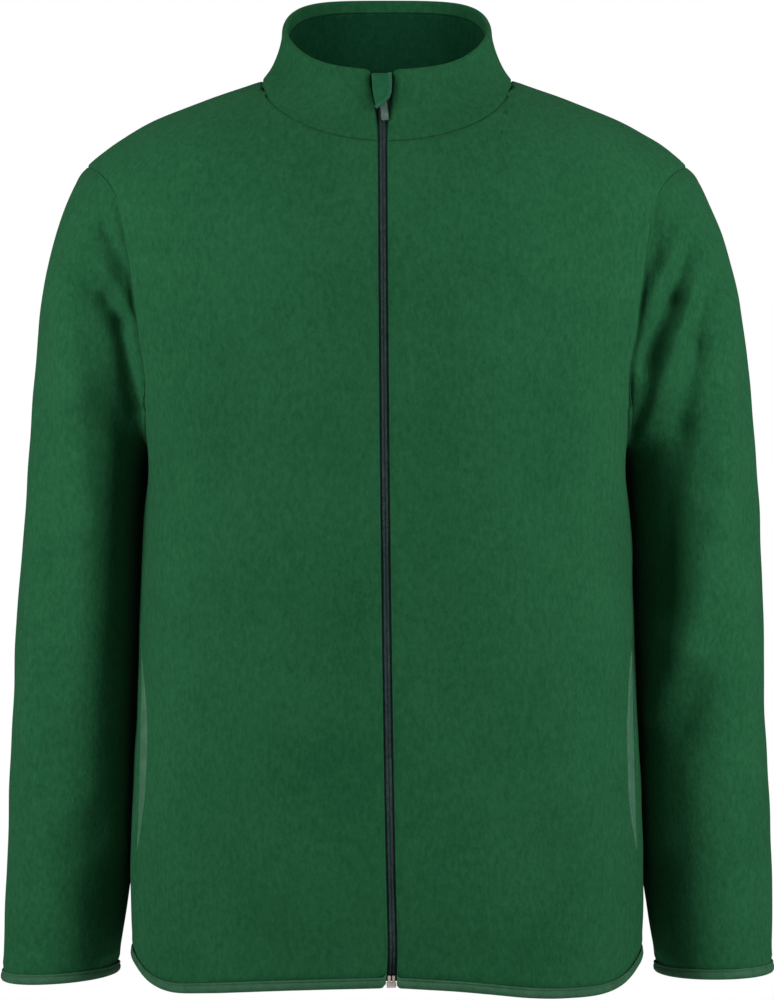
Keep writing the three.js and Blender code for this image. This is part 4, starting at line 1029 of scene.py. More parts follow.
EDGE_BACK = KNIT + CLEAR  # the cloth stops this far above its bound edge
EDGE_ROUND = {"radius": 3.2, "deep": 1.8, "ridge": 0.6, "ridge_at": 5.5, "ridge_wide": 2.6}
PRESS = {"deep": 1.0, "from": 5, "to": 11, "swell": 0.5, "swell_at": 13, "swell_wide": 4}
WAVE = {"count": 14, "seed": 5, "length": 78, "vary": 32, "shift": 9, "high": 0.11}
WAVES = np.random.default_rng(WAVE["seed"]).uniform(-1, 1, (WAVE["count"], 4))


def edge_round(distance):
    """The front edge rolls in as a quarter circle, with a soft ridge behind it."""
    size = EDGE_ROUND
    t = np.clip(distance / size["radius"], 0, 1)
    ridge = np.exp(-(((distance - size["ridge_at"]) / size["ridge_wide"]) ** 2))
    return -size["deep"] * (1 - np.sqrt(1 - (1 - t) ** 2)) + size["ridge"] * ridge


def pressed(distance):
    """A binding squeezes the cloth's edge, and the cloth swells just above it."""
    swell = np.exp(-(((distance - PRESS["swell_at"]) / PRESS["swell_wide"]) ** 2))
    deep = PRESS["deep"] * (1 - smooth(PRESS["from"], PRESS["to"], distance))
    return PRESS["swell"] * swell - deep


def undulation(p):
    """Shallow unevenness of the cloth: a sum of sine waves 45 to 110 mm long."""
    x, y, z = np.moveaxis(p, -1, 0)
    total = 0
    for a, b, c, d in WAVES:
        turns = (a * x + b * z + c * y) / (WAVE["length"] + WAVE["vary"] * d)
        total = total + np.sin(2 * PI * turns + WAVE["shift"] * d)
    return total * WAVE["high"]


def add_panel(name, cloth, outer, gaps):
    """A closed wall over a cloth's grid. Gaps: how far each edge stops from its seam."""
    rows = cloth.rows
    for axis, last, far in gaps:
        rows = pulled_back(rows, far, axis, last)
    outer = outer + undulation(rows)
    inner = np.minimum(outer - LEAST_WALL, -FLEECE)
    n = cloth.normals
    wall = shell(rows + n * outer[..., None], rows + n * inner[..., None], cloth.closed)
    return add_mesh(f"{name}_cloth", *wall, GREEN, [name], "fleece")


def add_body_and_sleeves():
    """Each panel's outer face: its edges and seams turn in by their distance from them."""
    for word in SIDES:
        cloth = cloths[f"front_{word}"]
        rows = cloth.rows
        high = np.concatenate([rows[-1], rows[:LOW_ROWS:-1, -1]])
        outer = edge_round(distance_to(rows, rows[:, 0]))
        outer += top_turn_in(rows, high, rows[-1, HALF_PANEL])
        outer += side_turn_in(rows, rows[:LOW_ROWS, -1])
        outer += pressed(distance_to(rows, rows[0]))
        gaps = [(0, False, EDGE_BACK), (0, True, SEAM_GAP), (1, True, SEAM_GAP)]
        piece = add_panel(f"front_{word}", cloth, outer, gaps)

        cloth = cloths[f"sleeve_{word}"]
        rows = cloth.rows
        around = np.concatenate([rows, rows[:, :1]], axis=1)
        below = smooth(0, SLEEVE_TURN["full_below"], SHOULDER_Z - rows[..., 2])
        deep = SLEEVE_TURN["deep"] * mix(SLEEVE_TURN["at_top"], 1, below)
        outer = seam_turn_in(distance_to(rows, around[0]), deep, SLEEVE_TURN["wide"])
        outer += side_turn_in(rows, rows[:, HIGH_ROWS])
        outer += pressed(distance_to(rows, around[-1]))
        gaps = [(0, False, SEAM_GAP), (0, True, EDGE_BACK)]
        piece = add_panel(f"sleeve_{word}", cloth, outer, gaps)
    cloth = cloths["back"]
    rows = cloth.rows
    high = np.concatenate([rows[LOW_ROWS:, 0], rows[-1], rows[:LOW_ROWS:-1, -1]])
    corners = rows[-1, HALF_PANEL], rows[-1, -1 - HALF_PANEL]
    outer = top_turn_in(rows, high, *corners) + pressed(distance_to(rows, rows[0]))
    for edge in (0, -1):
        outer += side_turn_in(rows, rows[:LOW_ROWS, edge])
    gaps = [(0, False, EDGE_BACK), (0, True, SEAM_GAP), (1, False, SEAM_GAP), (1, True, SEAM_GAP)]
    piece = add_panel("back", cloth, outer, gaps)


TAPE_SIZE = {
    "wide": 13, "thick": 0.8, "deep": 3.4, "low": 1.7, "low_from": -668, "low_to": -686,
    "top": -14.4, "bottom": -694.6, "part_from": -20, "part_to": -17, "rows": 220, "columns": 13,
}
COLLAR_SIZE = {
    "over": 0.2, "under": 0.3, "uneven": 0.5, "step_from": 16, "step_to": 34, "groove": 0.8,
    "groove_wide": 2.0,
}


def add_collar():
    """The outer cloth goes up, over the rim in a half circle and down to the inside seam. The
    facing lines the rest and steps in over the zip's tape."""
    size = COLLAR_SIZE
    cloth = cloths["collar"]
    rows, n = cloth.rows, cloth.normals
    from_zip = np.minimum(distance_to(rows, rows[:, 0]), distance_to(rows, rows[:, -1]))
    lift_way = unit(rows[-1] - rows[-2])
    off = edge_round(from_zip) + seam_turn_in(distance_to(rows, rows[0]))
    off += undulation(rows) * size["uneven"]
    turn = np.linspace(0, PI, RIM_STEPS + 1)[1:, None, None]
    seam = int(np.argmin(np.abs(COLLAR_UP - RIM_SEAM_UP)))
    rim, rim_n = rows[-1][None], n[-1][None]

    def over(start, end, height):
        """Half an ellipse over the rim, from one distance off the cloth to another."""
        way = (1 - np.cos(turn)) / 2
        across_rim = mix(start[None, :, None], end, way)
        return rim + rim_n * across_rim + lift_way[None] * height * np.sin(turn)

    def down(depth):
        """Down the inside to the seam, at a depth behind the cloth."""
        back = rows[seam:-1][::-1] - n[seam:-1][::-1] * depth
        back[-1] += unit(rows[seam + 1] - rows[seam]) * SEAM_GAP
        return back

    first = pulled_back(rows, SEAM_GAP, 0, False)
    crown = over(off[-1], -COLLAR_FULL, FLEECE + size["over"])
    outer = [first + n * off[..., None], crown, down(COLLAR_FULL)]
    wall_in = np.minimum(off - LEAST_WALL, -FLEECE)
    under = FLEECE + CLEAR
    inner = [first + n * wall_in[..., None], over(wall_in[-1], -under, size["under"]), down(under)]
    wall = shell(np.concatenate(outer), np.concatenate(inner))
    piece = add_mesh("collar_outer_cloth", *wall, GREEN, ["collar_outer"], "fleece")

    lining = pulled_back(rows[: seam + 1], SEAM_GAP, 0, True)
    ln = n[: seam + 1]
    low = TAPE_SIZE["deep"] + TAPE_SIZE["thick"] + CLEAR - FLEECE
    step = low * (1 - smooth(size["step_from"], size["step_to"], from_zip[: seam + 1]))
    from_seam = along(lining, 0)[-1:] - along(lining, 0)
    groove = size["groove"] * np.exp(-(from_seam / size["groove_wide"]) ** 2)
    wall = shell(
        lining - ln * (under + step)[..., None],
        lining - ln * (COLLAR_FULL + step - groove)[..., None],
    )
    # The facing wears the darker copy of the fleece, painted shade
    piece = add_mesh("collar_facing_cloth", *wall, INSIDE_PAINTED_SHADE, ["collar_facing"], "fleece")


# Section of a binding, from its upper edge outside, over the cloth's edge, to inside: the outer
# skin and the inner skin as out and up from the cloth's edge
OUTSIDE_LEG = [
    [0.45, 8.0, 0.3, 8.0],
    [1.15, 7.8, 0.3, 7.7],
    [1.45, 7.2, 0.3, 7.1],
    [1.35, 6.6, 0.3, 6.5],
    [0.75, 6.15, 0.3, 6.1],
    [1.3, 5.7, 0.3, 5.7],
    [1.9, 4.7, 0.3, 4.7],
    [2.15, 3.2, 0.3, 3.2],
    [1.95, 1.6, 0.3, 1.8],
    [1.2, 0.5, 0.1, 1.2],
    [0.2, 0.0, -0.4, 1.05],
]
INSIDE_LEG = [
    [0.5, 0.0, 0.3, 1.05],
    [-0.7, 0.4, 0.05, 1.2],
    [-1.1, 1.6, 0.0, 1.8],
    [-1.15, 4.0, 0.0, 4.0],
    [-1.1, 6.6, 0.0, 6.5],
    [-0.95, 7.7, 0.0, 7.7],
    [-0.3, 8.0, 0.0, 8.0],
]
HEM_ROOM = 0.6
STITCH = {"row": 4, "pitch": 2.6, "long": 1.9, "thick": 0.5, "flat": 0.6}
ROD = {"rings": [14, 50, 90, 130, 166], "round": 0.6}


def edge_frame(cloth, bottom, inner):
    """Along a cloth's edge: its points, the way out and the way up the cloth."""
    p = cloth.rows[bottom]
    up = unit(cloth.rows[inner] - p)
    n = cloth.normals[bottom]
    return p, unit(n - up * np.sum(n * up, axis=-1, keepdims=True)), up


def binding_skins(p, out, up, room, ends):
    """Outer and inner skins over a cloth's edge, as grids of section by place. The ends turn in
    with the front's edge."""
    inside = np.array(INSIDE_LEG)
    inside[:, [0, 2]] -= FLEECE + CLEAR + room
    section = np.concatenate([OUTSIDE_LEG, inside])[:, None, :, None]
    turn_in = (edge_round(ends) if ends is not None else np.zeros(len(p)))[None, :, None]
    outside = (section[:, :, 0] > 0) * 1.0

    def layer(k):
        """The skin whose two columns of the section start at k."""
        far = section[:, :, k] + turn_in * outside
        return p[None] + out[None] * far + up[None] * section[:, :, k + 1]

    return layer(0), layer(2)


def capsules(centre, ways, half, sides=6):
    """Small rounded rods: rings at -cos(u) along the first way, of radius sin(u)^round along
    the other two, each times its half length."""
    u = np.radians(ROD["rings"])[:, None]
    v = (np.arange(sides) * 2 * PI / sides)[None, :]
    fat = np.sin(u) ** ROD["round"]
    local = points(-np.cos(u) * half[0], half[1] * fat * np.cos(v), half[2] * fat * np.sin(v))
    ways = np.stack(ways, axis=1)
    rods = centre[:, None, None] + np.einsum("rsk,nkx->nrsx", local, ways)
    count, rings = len(centre), len(u)
    index = np.arange(count * rings * sides).reshape(count, rings, sides)
    near, far = index, np.roll(index, -1, axis=2)
    quads = np.stack([near[:, :-1], far[:, :-1], far[:, 1:], near[:, 1:]], -1).reshape(-1, 4)
    return rods.reshape(-1, 3), [quads, index[:, 0, ::-1], index[:, -1]]


def spaced(line, pitch, *others):
    """Even places along a line, with other values carried to the same places."""
    run = np.concatenate([[0], np.cumsum(np.linalg.norm(np.diff(line, axis=0), axis=1))])
    want = np.arange(pitch / 2, run[-1], pitch)

    def at(values):
        """Values of the line's own points, read at the even places."""
        return np.stack([np.interp(want, run, values[:, k]) for k in range(3)], -1)

    ahead = np.gradient(line, axis=0)
    return at(line), unit(at(ahead)), *[unit(at(values)) for values in others]


def add_stitches(name, line, out):
    """A row of thread stitches lying along a line on the cloth."""
    centre, ahead, out = spaced(line, STITCH["pitch"], out)
    aside = unit(np.cross(ahead, out))
    half = STITCH["long"] / 2, STITCH["thick"] / 2, STITCH["thick"] * STITCH["flat"]
    rods = capsules(centre, (ahead, out, aside), half)
    return add_mesh(name, *rods, THREAD, [], "binding")


def add_bindings():
    """Stretch knit folded over the hem, from one side of the zip to the other, and over both
    cuffs, each with its row of stitches."""
    names = "front_right", "back", "front_left"
    right, behind, left = (edge_frame(cloths[name], 0, 1) for name in names)
    p, out, up = (
        np.concatenate([right[k], behind[k][1:-1], left[k][::-1]]) for k in range(3)
    )
    run = along(p[None], 1)[0]
    ends = np.minimum(run, run[-1] - run)
    outer, inner = binding_skins(p, out, up, HEM_ROOM, ends)
    piece = add_mesh("hem_binding_strip", *shell(outer, inner), BINDING, ["hem_binding"], "binding")
    add_stitches("hem_stitches", outer[STITCH["row"]], out)
    for word in SIDES:
        p, out, up = edge_frame(cloths[f"sleeve_{word}"], -1, -2)
        outer, inner = binding_skins(p, out, up, 0, None)
        wall = shell(outer, inner, closed=True)
        node = f"cuff_binding_{word}"
        piece = add_mesh(f"{node}_strip", *wall, BINDING, [node], "binding")
        add_stitches(f"cuff_stitches_{word}", outer[STITCH["row"]], out)


def skin(side, angle, z):
    """A place on the body, and the way out of it."""
    return body(side, angle, z), body_normal(side, angle, z)


WELT_SIZE = {
    "inset": 3, "fold": 1.5, "fold_to": 0.16, "tuck": 1.2, "tuck_from": 0.82, "thin": 0.4,
    "thick_from": 0.2, "slit_share": 0.3, "gap_share": 0.25, "rows": 61, "columns": 15,
}
BAG = {
    "thick": 0.7, "reach": 0.86, "top": -436, "bottom": -652, "first": 3.1, "mouth": 0.02,
    "full": 0.2, "inset": 2, "corner": 22, "corner_from": 0.6, "bend_out": 0.006,
    "bend_in": 0.001, "rows": 31, "columns": 25,
}


def add_welt(word, side):
    """A fold of knit along the side seam: its open edge rolls in as a quarter circle, and its
    sewn edge is tucked under the front."""
    size = WELT_SIZE
    share = np.linspace(0, 1, size["rows"])[:, None]
    z = mix(POCKET["bottom"] + size["inset"], POCKET["top"] - size["inset"], share)
    reach = welt_angle(z)
    t = np.linspace(0, 1, size["columns"])[None, :]
    slit = np.minimum(POCKET["slit"] / SIDE_ARC, reach * size["slit_share"])
    gap = np.minimum(CLEAR / SIDE_ARC, reach * size["gap_share"])
    p, n = skin(side, side_seam(z) - mix(slit, reach - gap, t), z)
    fold = size["fold"] * (1 - np.sqrt(1 - (1 - np.clip(t / size["fold_to"], 0, 1)) ** 2))
    high = (fold + size["tuck"] * smooth(size["tuck_from"], 1, t) + 0 * z)[..., None]
    thick = size["thin"] + (2 * KNIT - CLEAR) * smooth(0, size["thick_from"], t)[..., None]
    wall = shell(p - n * high, p - n * (high + thick))
    # The welt wears the lighter copy of the binding knit, painted highlight
    piece = add_mesh(f"pocket_welt_{word}_fold", *wall, WELT_PAINTED_HIGHLIGHT, [f"pocket_welt_{word}"], "binding")


def bag_point(side, v, reach, off):
    """A point of the bag at a share of its height, its reach from the side seam as an angle, and
    its depth behind the front. It is narrow at its mouth and round at its far corners."""
    size = BAG
    opened = smooth(size["mouth"], size["full"], reach)
    corner = size["corner"] * smooth(size["corner_from"], size["reach"], reach) ** 2
    top = mix(POCKET["top"] - size["inset"], size["top"], opened) - corner
    bottom = mix(POCKET["bottom"] + size["inset"], size["bottom"], opened) + corner
    height = mix(bottom, top, v)
    p, n = skin(side, side_seam(height) - reach, height)
    return p - n * off


def bag_layer(side, near, far, bend):
    """One skin of the bag: out along its near face, round the fold, and back along its far one."""
    reach = mix(BAG["mouth"], BAG["reach"], np.linspace(0, 1, BAG["columns"]))
    r = np.concatenate([reach, [BAG["reach"] + bend], reach[::-1]])
    off = np.concatenate([[near] * len(reach), [(near + far) / 2], [far] * len(reach)])
    share = np.linspace(0, 1, BAG["rows"])[:, None]
    return bag_point(side, share, r[None, :], off[None, :, None])


def add_pockets():
    """Each pocket: a welt of folded knit along the side seam, and a flat bag behind the front."""
    first, thick = BAG["first"], BAG["thick"]
    for word, side in SIDES.items():
        add_welt(word, side)
        outer = bag_layer(side, first, first + 2 * thick + CLEAR, BAG["bend_out"])
        inner = bag_layer(side, first + thick, first + thick + CLEAR, BAG["bend_in"])
        node = f"pocket_bag_{word}"
        piece = add_mesh(f"{node}_cloth", *shell(outer, inner), POCKET_CLOTH, [node], "pocket_cloth")


def centre_skin(x, z):
    """The closed front near the zip: the body up to the neck seam, then the collar's face."""
    x, z = np.broadcast_arrays(np.asarray(x, float), np.asarray(z, float))
    turn = np.arcsin(np.abs(x) / NECK["half"])
    seam_z = neck_point(turn)[1]
    low = np.minimum(z, seam_z)
    p = body(np.where(x < 0, -1, 1), angle_at(np.abs(x), low), low)
    top = RIM["side_z"] + RIM["climb"] * (RIM["mid_y"] - RIM["deep"]) - RIM["dip"]
    slide = 1 - (1 - np.clip((z - seam_z) / (top - seam_z), 0, 1)) ** COLLAR_FLARE
    y = mix(p[..., 1], RIM["mid_y"] - RIM["deep"] * np.cos(turn), slide)
    return points(np.where(z > seam_z, x, p[..., 0]), y, z)


def centre_frame(x, z):
    """Place, across, out and up of the closed front."""
    step = 3
    across = centre_skin(x + step, z) - centre_skin(x - step, z)
    up = unit(centre_skin(x, z + step) - centre_skin(x, z - step))
    out = unit(np.cross(across, up))
    return centre_skin(x, z), np.cross(up, out), out, up


def tape_depth(z):
    """How far the tape lies behind the cloth's face: deeper at the zip's bottom."""
    size = TAPE_SIZE
    return size["deep"] + size["low"] * smooth(size["low_from"], size["low_to"], z)


SLIDER = {
    "z": -18, "wide": 8.6, "up": 6, "down": 7, "plate": 1.2, "post": 1.8, "post_from": 2.4,
    "clear": 0.4,
}
COIL_SIZE = {"from": -689, "to": -25.6, "wide": 2.35, "thick": 1.3, "pitch": 1.5}
TOOTH = {
    "first": 0.6, "last": 0.5, "aside": 0.3, "sunk": 0.45, "slant": 0.12, "rod": (0.85, 0.6, 0.48),
    "head": (0.42, 0.45, 0.4), "head_aside": 0.95, "head_back": 0.2,
}


def add_zip():
    """Woven tapes that carry two rows of nylon teeth, which lock past each other. The tapes part
    round the slider's post."""
    tooth, size = TOOTH, TAPE_SIZE
    for word, side in SIDES.items():
        z = np.linspace(size["bottom"], size["top"], size["rows"])[:, None]
        parted = smooth(size["part_from"], size["part_to"], z)
        inner = mix(0.0, SLIDER["post"] / 2 + CLEAR, parted)
        far = mix(inner, size["wide"], np.linspace(0, 1, size["columns"])[None, :])
        p, _, out, _ = centre_frame(ZIP_LINE("x", z) + side * far, z)
        depth = tape_depth(z)[..., None] + 0 * far[..., None]
        wall = shell(p - out * depth, p - out * (depth + size["thick"]))
        tape = add_mesh(f"zip_tape_{word}_web", *wall, TAPE, [f"zip_tape_{word}"], "zip_tape")

        start = COIL_SIZE["from"] + (COIL_SIZE["pitch"] / 2 if side > 0 else 0) + tooth["first"]
        z = np.arange(start, COIL_SIZE["to"] - tooth["last"], COIL_SIZE["pitch"])
        middle = COIL_SIZE["wide"] / 2 + tooth["aside"]
        p, across, out, up = centre_frame(ZIP_LINE("x", z) + side * middle, z)
        lift = -(tape_depth(z) - CLEAR - COIL_SIZE["thick"] * tooth["sunk"])[:, None]
        way = unit(across + side * tooth["slant"] * up)
        lean = unit(np.cross(way, out))
        teeth = capsules(p + out * lift, (way, out, lean), tooth["rod"], sides=8)
        heads = p - side * across * tooth["head_aside"] + out * (lift - tooth["head_back"])
        knobs = capsules(heads, (up, out, across), tooth["head"])
        both = joined_shapes(teeth, knobs)
        add_mesh(f"zip_coil_{word}_teeth", *both, COIL, [f"zip_coil_{word}"], "zip_coil")


def joined_shapes(*shapes):
    """The vertices and faces of several shapes as those of one."""
    start, vertices, faces = 0, [], []
    for verts, kinds in shapes:
        vertices.append(verts)
        faces += [kind + start for kind in kinds]
        start += len(verts)
    return np.concatenate(vertices), faces


def rounded_block(low, high, radius):
    """A sphere of rings and sides whose eight parts are moved out to a block's corners."""
    rings, sides = 8, 16
    a = ((np.arange(rings) + 0.5) * PI / rings)[:, None]
    b = ((np.arange(sides) + 0.5) * 2 * PI / sides)[None, :]
    n = points(np.sin(a) * np.cos(b), np.sin(a) * np.sin(b), -np.cos(a))
    low, high = np.array(low, float), np.array(high, float)
    radius = min(radius, *(high - low) / 2.01)  # a little flat face stays on each side
    p = (low + high) / 2 + np.sign(n) * ((high - low) / 2 - radius) + n * radius
    index = np.arange(rings * sides).reshape(rings, sides)
    far = np.roll(index, -1, axis=1)
    quads = np.stack([index[:-1], far[:-1], far[1:], index[1:]], -1).reshape(-1, 4)
    return p.reshape(-1, 3), [quads, index[:1, ::-1], index[-1:]]


def in_frame(shape, frame):
    """A shape moved from its own across, out and up to those of a place on the zip."""
    origin, across, out, up = frame
    local, faces = shape
    return origin + local[:, :1] * across + local[:, 1:2] * out + local[:, 2:] * up, faces


def block(frame, low, high, radius=0.35):
    """A rounded block from one corner to another: across, out and up from a place on the zip."""
    return in_frame(rounded_block(low, high, radius), frame)


ARCH = {"half": 1, "under": 2.1, "thick": 0.9, "foot": 0.9, "reach": 3.2}
HINGE = {"drop": -1.2, "out": 0.95}
OVERLAP = 0.2  # how far joined blocks reach into each other
TAB = {
    "wide": 5.6, "thick": 1.2, "length": 23.6, "top": 0.7, "window": 6.4, "window_half": 1.5,
    "window_top": -0.7, "window_round": 0.7, "round": 1.3, "waist": 0.2, "waist_from": -7,
    "edge": 0.4, "tilt": 5.6, "lean": 7,
}
BOX = {"half": 3.6, "from": -699.5, "to": -695.2, "behind": 1.6, "ahead": 2.2, "round": 0.8}
PIN = {"from": 0.5, "to": 2.9, "top": -690.3, "thick": 1.8, "sunk": 0.4, "round": 0.6}


def rounded_outline(x0, x1, z0, z1, radius, count=48):
    """Corners of a rectangle rounded, as a loop of points at even angles."""
    a = (np.arange(count) + 0.5) * 2 * PI / count
    c, s = np.cos(a), np.sin(a)
    cx, cz = (x0 + x1) / 2, (z0 + z1) / 2
    return np.stack([
        cx + np.sign(c) * ((x1 - x0) / 2 - radius) + c * radius,
        cz + np.sign(s) * ((z1 - z0) / 2 - radius) + s * radius,
    ], -1)


def add_slider():
    """Two plates joined by a post, an arch in front, and the tab that hangs on it."""
    frame = centre_frame(ZIP_LINE("x", SLIDER["z"]), SLIDER["z"])
    half, plate = SLIDER["wide"] / 2, SLIDER["plate"]
    front = -TAPE_SIZE["deep"] + SLIDER["clear"]
    back = -TAPE_SIZE["deep"] - TAPE_SIZE["thick"] - SLIDER["clear"]
    face = front + plate
    post = SLIDER["post"] / 2
    arch, foot = ARCH["half"], ARCH["foot"]
    start, under, crown = face - OVERLAP, ARCH["under"] + OVERLAP, ARCH["under"] + ARCH["thick"]
    high = HINGE["drop"] + ARCH["reach"]
    low = HINGE["drop"] - ARCH["reach"] - foot + OVERLAP
    shapes = [
        block(frame, [-half, front, -SLIDER["down"]], [half, face, SLIDER["up"]]),
        block(frame, [-half, back - plate, -SLIDER["down"]], [half, back, SLIDER["up"]]),
        block(frame, [-post, back - OVERLAP, SLIDER["post_from"]], [post, front + OVERLAP, SLIDER["up"]]),
        block(frame, [-arch, start, high], [arch, under, high + foot]),
        block(frame, [-arch, start, low], [arch, under, low + foot]),
        block(frame, [-arch, ARCH["under"], low], [arch, crown, high + foot]),
    ]
    add_mesh("zip_slider_body", *joined_shapes(*shapes), DARK_METAL, ["zip_slider"], "zip_metal")
    add_tab(frame)


def tab_loops():
    """The tab's outlines with their heights: up out of the window, over the face and round the
    rim, each step a share of the rounded edge, then the same behind."""
    size = TAB
    window = -size["window_half"], size["window_half"], -size["window"], size["window_top"]
    hole = rounded_outline(*window, size["window_round"])
    rim = rounded_outline(-size["wide"] / 2, size["wide"] / 2, -size["length"], size["top"], size["round"])
    rim[:, 0] *= 1 - size["waist"] * smooth(size["waist_from"], size["top"], rim[:, 1])
    from_hole = unit(rim - hole) * size["edge"]
    to_rim = unit(rim - np.array([0, -size["length"] / 2])) * size["edge"]
    y, edge = size["thick"] / 2, size["edge"]
    loops = [
        (hole, y - edge),
        (hole + from_hole * 0.3, y - edge * 0.25),
        (hole + from_hole * 1.4, y),
        (mix(hole, rim, 0.5), y),
        (rim - to_rim * 1.4, y),
        (rim - to_rim * 0.3, y - edge * 0.3),
        (rim, y - edge),
    ]
    return loops + [(line, -height) for line, height in loops[::-1]]


def add_tab(frame):
    """A flat ring of the tab's loops, turned sideways by its tilt and forward by its lean."""
    size, loops = TAB, tab_loops()
    ring = np.stack([points(line[:, 0], height, line[:, 1]) for line, height in loops])
    tilt, lean = np.radians(-size["tilt"]), np.radians(size["lean"])
    turn_y = np.array([[np.cos(tilt), 0, np.sin(tilt)], [0, 1, 0], [-np.sin(tilt), 0, np.cos(tilt)]])
    turn_x = np.array([[1, 0, 0], [0, np.cos(lean), -np.sin(lean)], [0, np.sin(lean), np.cos(lean)]])
    local = ring.reshape(-1, 3) @ turn_y.T @ turn_x.T + [0, HINGE["out"], HINGE["drop"]]
    index = np.arange(len(local)).reshape(ring.shape[:2])
    far = np.roll(index, -1, axis=0)
    corners = [index, far, np.roll(far, -1, axis=1), np.roll(index, -1, axis=1)]
    tab = in_frame((local, [np.stack(corners, -1).reshape(-1, 4)]), frame)
    add_mesh("zip_pull_tab", *tab, PULL, ["zip_pull"], "zip_pull", rides="zip_pull")


def add_zip_ends():
    """The box at the zip's foot with its own post, and the pin beside it."""
    half, low, high = BOX["half"], PIN["from"], PIN["to"]
    frame = centre_frame(ZIP_LINE("x", BOX["to"]), BOX["to"])
    front = -tape_depth(BOX["to"]) + CLEAR
    base, rise, ahead = BOX["from"] - BOX["to"], PIN["top"] - BOX["to"], front + PIN["thick"]
    start, end = [-half, front - BOX["behind"], base], [half, front + BOX["ahead"], 0]
    box = joined_shapes(
        block(frame, start, end, BOX["round"]),
        block(frame, [-high, front, -PIN["sunk"]], [-low, ahead, rise], PIN["round"]),
    )
    add_mesh("zip_box_shell", *box, METAL, ["zip_box"], "zip_metal")
    pin = block(frame, [low, front, CLEAR], [high, ahead, rise], PIN["round"])
    add_mesh("zip_pin_post", *pin, METAL, ["zip_pin"], "zip_metal")


# The garage: a leaf of thin cloth from inside the collar, over the zip's top, down in front
GARAGE_LINE = Table(
    ["row", "z", "out", "from", "to"],
    [
        [0, -24, -8.0, -9.5, 2.5],
        [1, -12, -8.0, -11.5, 3.4],
        [2, -6.4, -7.4, -12.0, 3.6],
        [3, -4.2, -4.6, -12.0, 3.6],
        [4, -3.6, -1.6, -12.0, 3.6],
        [5, -4.2, 1.6, -12.0, 3.6],
        [6, -6.6, 3.6, -11.9, 3.7],
        [7, -11, 4.6, -11.6, 3.8],
        [8, -18, 5.4, -11.1, 3.6],
        [9, -23, 6.0, -10.5, 2.9],
        [10, -27, 6.5, -9.8, 0.9],
        [11, -30.6, 6.8, -9.0, -2.6],
        [12, -33, 6.9, -8.5, -5.6],
        [13, -34.6, 6.9, -8.2, -7.6],
    ],
)
GARAGE_SIZE = {
    "thick": 0.8, "middle": -10, "rows": 79, "columns": 25, "round": 0.25, "round_wide": 1 / 12,
}
OVERLOCK = {"first": 24, "pitch": 1.5, "lift": 0.15, "slant": 0.35, "in": 1.45}
OVERLOCK_ROD = 1.6, 0.4, 0.42


def add_garage():
    """The leaf as wide as its table says at each row, its two long edges thinned, with the
    overlocked edge on its left."""
    size = GARAGE_SIZE
    row = np.linspace(0, GARAGE_LINE.key[-1], size["rows"])
    line = {name: GARAGE_LINE(name, row) for name in GARAGE_LINE.columns}
    origin, _, out, _ = centre_frame(ZIP_LINE("x", size["middle"]), line["z"])
    base = origin + out * line["out"][:, None]
    ahead = unit(np.gradient(base, axis=0))
    face = unit(np.cross(ahead, [1.0, 0, 0]))
    t = np.linspace(0, 1, size["columns"])
    ends = np.exp(-((t / size["round_wide"]) ** 2)) + np.exp(-(((1 - t) / size["round_wide"]) ** 2))
    rim_fall = (size["round"] * ends)[None, :, None]
    p = np.repeat(base[:, None], len(t), axis=1)
    p[..., 0] = mix(line["from"][:, None], line["to"][:, None], t)
    face = np.repeat(face[:, None], len(t), axis=1)
    wall = shell(p - face * rim_fall, p - face * (size["thick"] - rim_fall))
    piece = add_mesh("zip_garage_leaf", *wall, GARAGE, ["zip_garage"], "garage")
    add_overlock(p[:, -1], face[:, -1])


def add_overlock(edge, face):
    """Threads side by side over the leaf's edge, each leaning along it."""
    size = OVERLOCK
    line = (edge + face * size["lift"])[size["first"] :]
    centre, ahead, out = spaced(line, size["pitch"], face[size["first"] :])
    aside = unit(np.cross(out, ahead))
    inward = np.where(aside[:, :1] > 0, -aside, aside)
    slant = unit(inward + size["slant"] * ahead)
    ways = slant, out, unit(np.cross(slant, out))
    threads = capsules(centre + inward * size["in"], ways, OVERLOCK_ROD)
    add_mesh("zip_garage_overlock", *threads, EDGING, [], "garage")


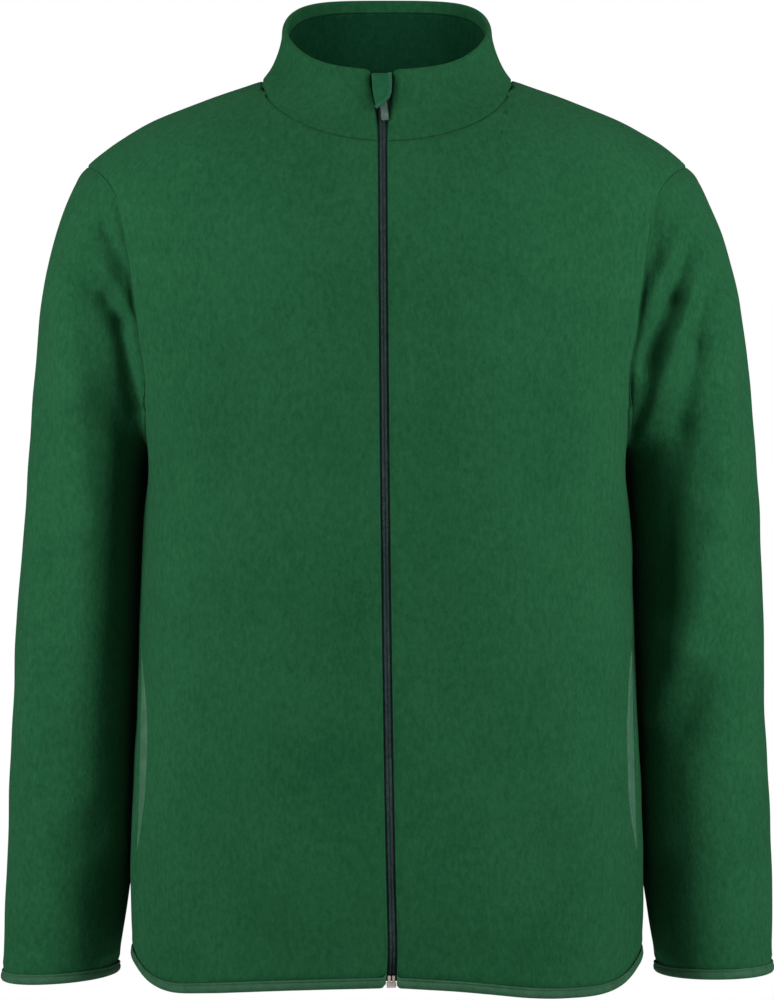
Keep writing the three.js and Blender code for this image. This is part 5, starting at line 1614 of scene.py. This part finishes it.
# How strongly the backdrop lights the jacket, where the lights aim, the floor, and the soft
# boxes: name, x, y, z, width, height and watts
STUDIO = {
    "fill": 0.14, "aim": (0, 0, -0.35), "floor_z": -1.35, "floor_half": 3, "floor_sides": 64,
    "boxes": [
        ["left_box", 0.6, -0.46, -0.2, 0.25, 1.6, 7.6],
        ["right_box", -0.6, -0.46, -0.2, 0.25, 1.6, 7.2],
        ["front_box", 0.0, -2.0, 1.1, 1.2, 0.8, 2.6],
    ],
}


def add_light(name, place, size, power):
    """A rectangle of light that faces the jacket's middle."""
    data = bpy.data.lights.new(name, "AREA")
    data.shape = "RECTANGLE"
    data.size, data.size_y = size
    data.energy = power
    light = new_object(name, data)
    light.location = place
    way = Vector(STUDIO["aim"]) - Vector(place)
    light.rotation_euler = way.to_track_quat("-Z", "Y").to_euler()


def add_studio():
    """Tall soft boxes at both sides, a weaker one in front, and a bright backdrop that lights
    the jacket only a little."""
    world = bpy.data.worlds.new("studio")
    bpy.context.scene.world = world
    nodes = Nodes(world)
    seen = nodes.node("ShaderNodeLightPath", {}, {}, "Is Camera Ray")
    levels = {"Value": seen, "To Min": STUDIO["fill"], "To Max": 1.0}
    level = nodes.node("ShaderNodeMapRange", {}, levels, "Result")
    backdrop = nodes.node("ShaderNodeBackground", {}, {"Color": (1, 1, 1, 1), "Strength": level})
    nodes.node("ShaderNodeOutputWorld", {}, {"Surface": backdrop})
    for name, x, y, z, wide, tall, power in STUDIO["boxes"]:
        add_light(name, (x, y, z), (wide, tall), power)
    bpy.context.scene.view_settings.view_transform = "Standard"
    mesh = bpy.data.meshes.new("floor")
    sides, half = STUDIO["floor_sides"], STUDIO["floor_half"]
    turn = np.arange(sides) * 2 * PI / sides
    ring = points(half * np.cos(turn), half * np.sin(turn), STUDIO["floor_z"])
    mesh.from_pydata(ring.tolist(), [], [list(range(sides))])
    mesh.materials.append(FLOOR)
    new_object("floor", mesh)


add_body_and_sleeves()
add_collar()
add_bindings()
add_pockets()
add_zip()
add_slider()
add_zip_ends()
add_garage()
add_studio()
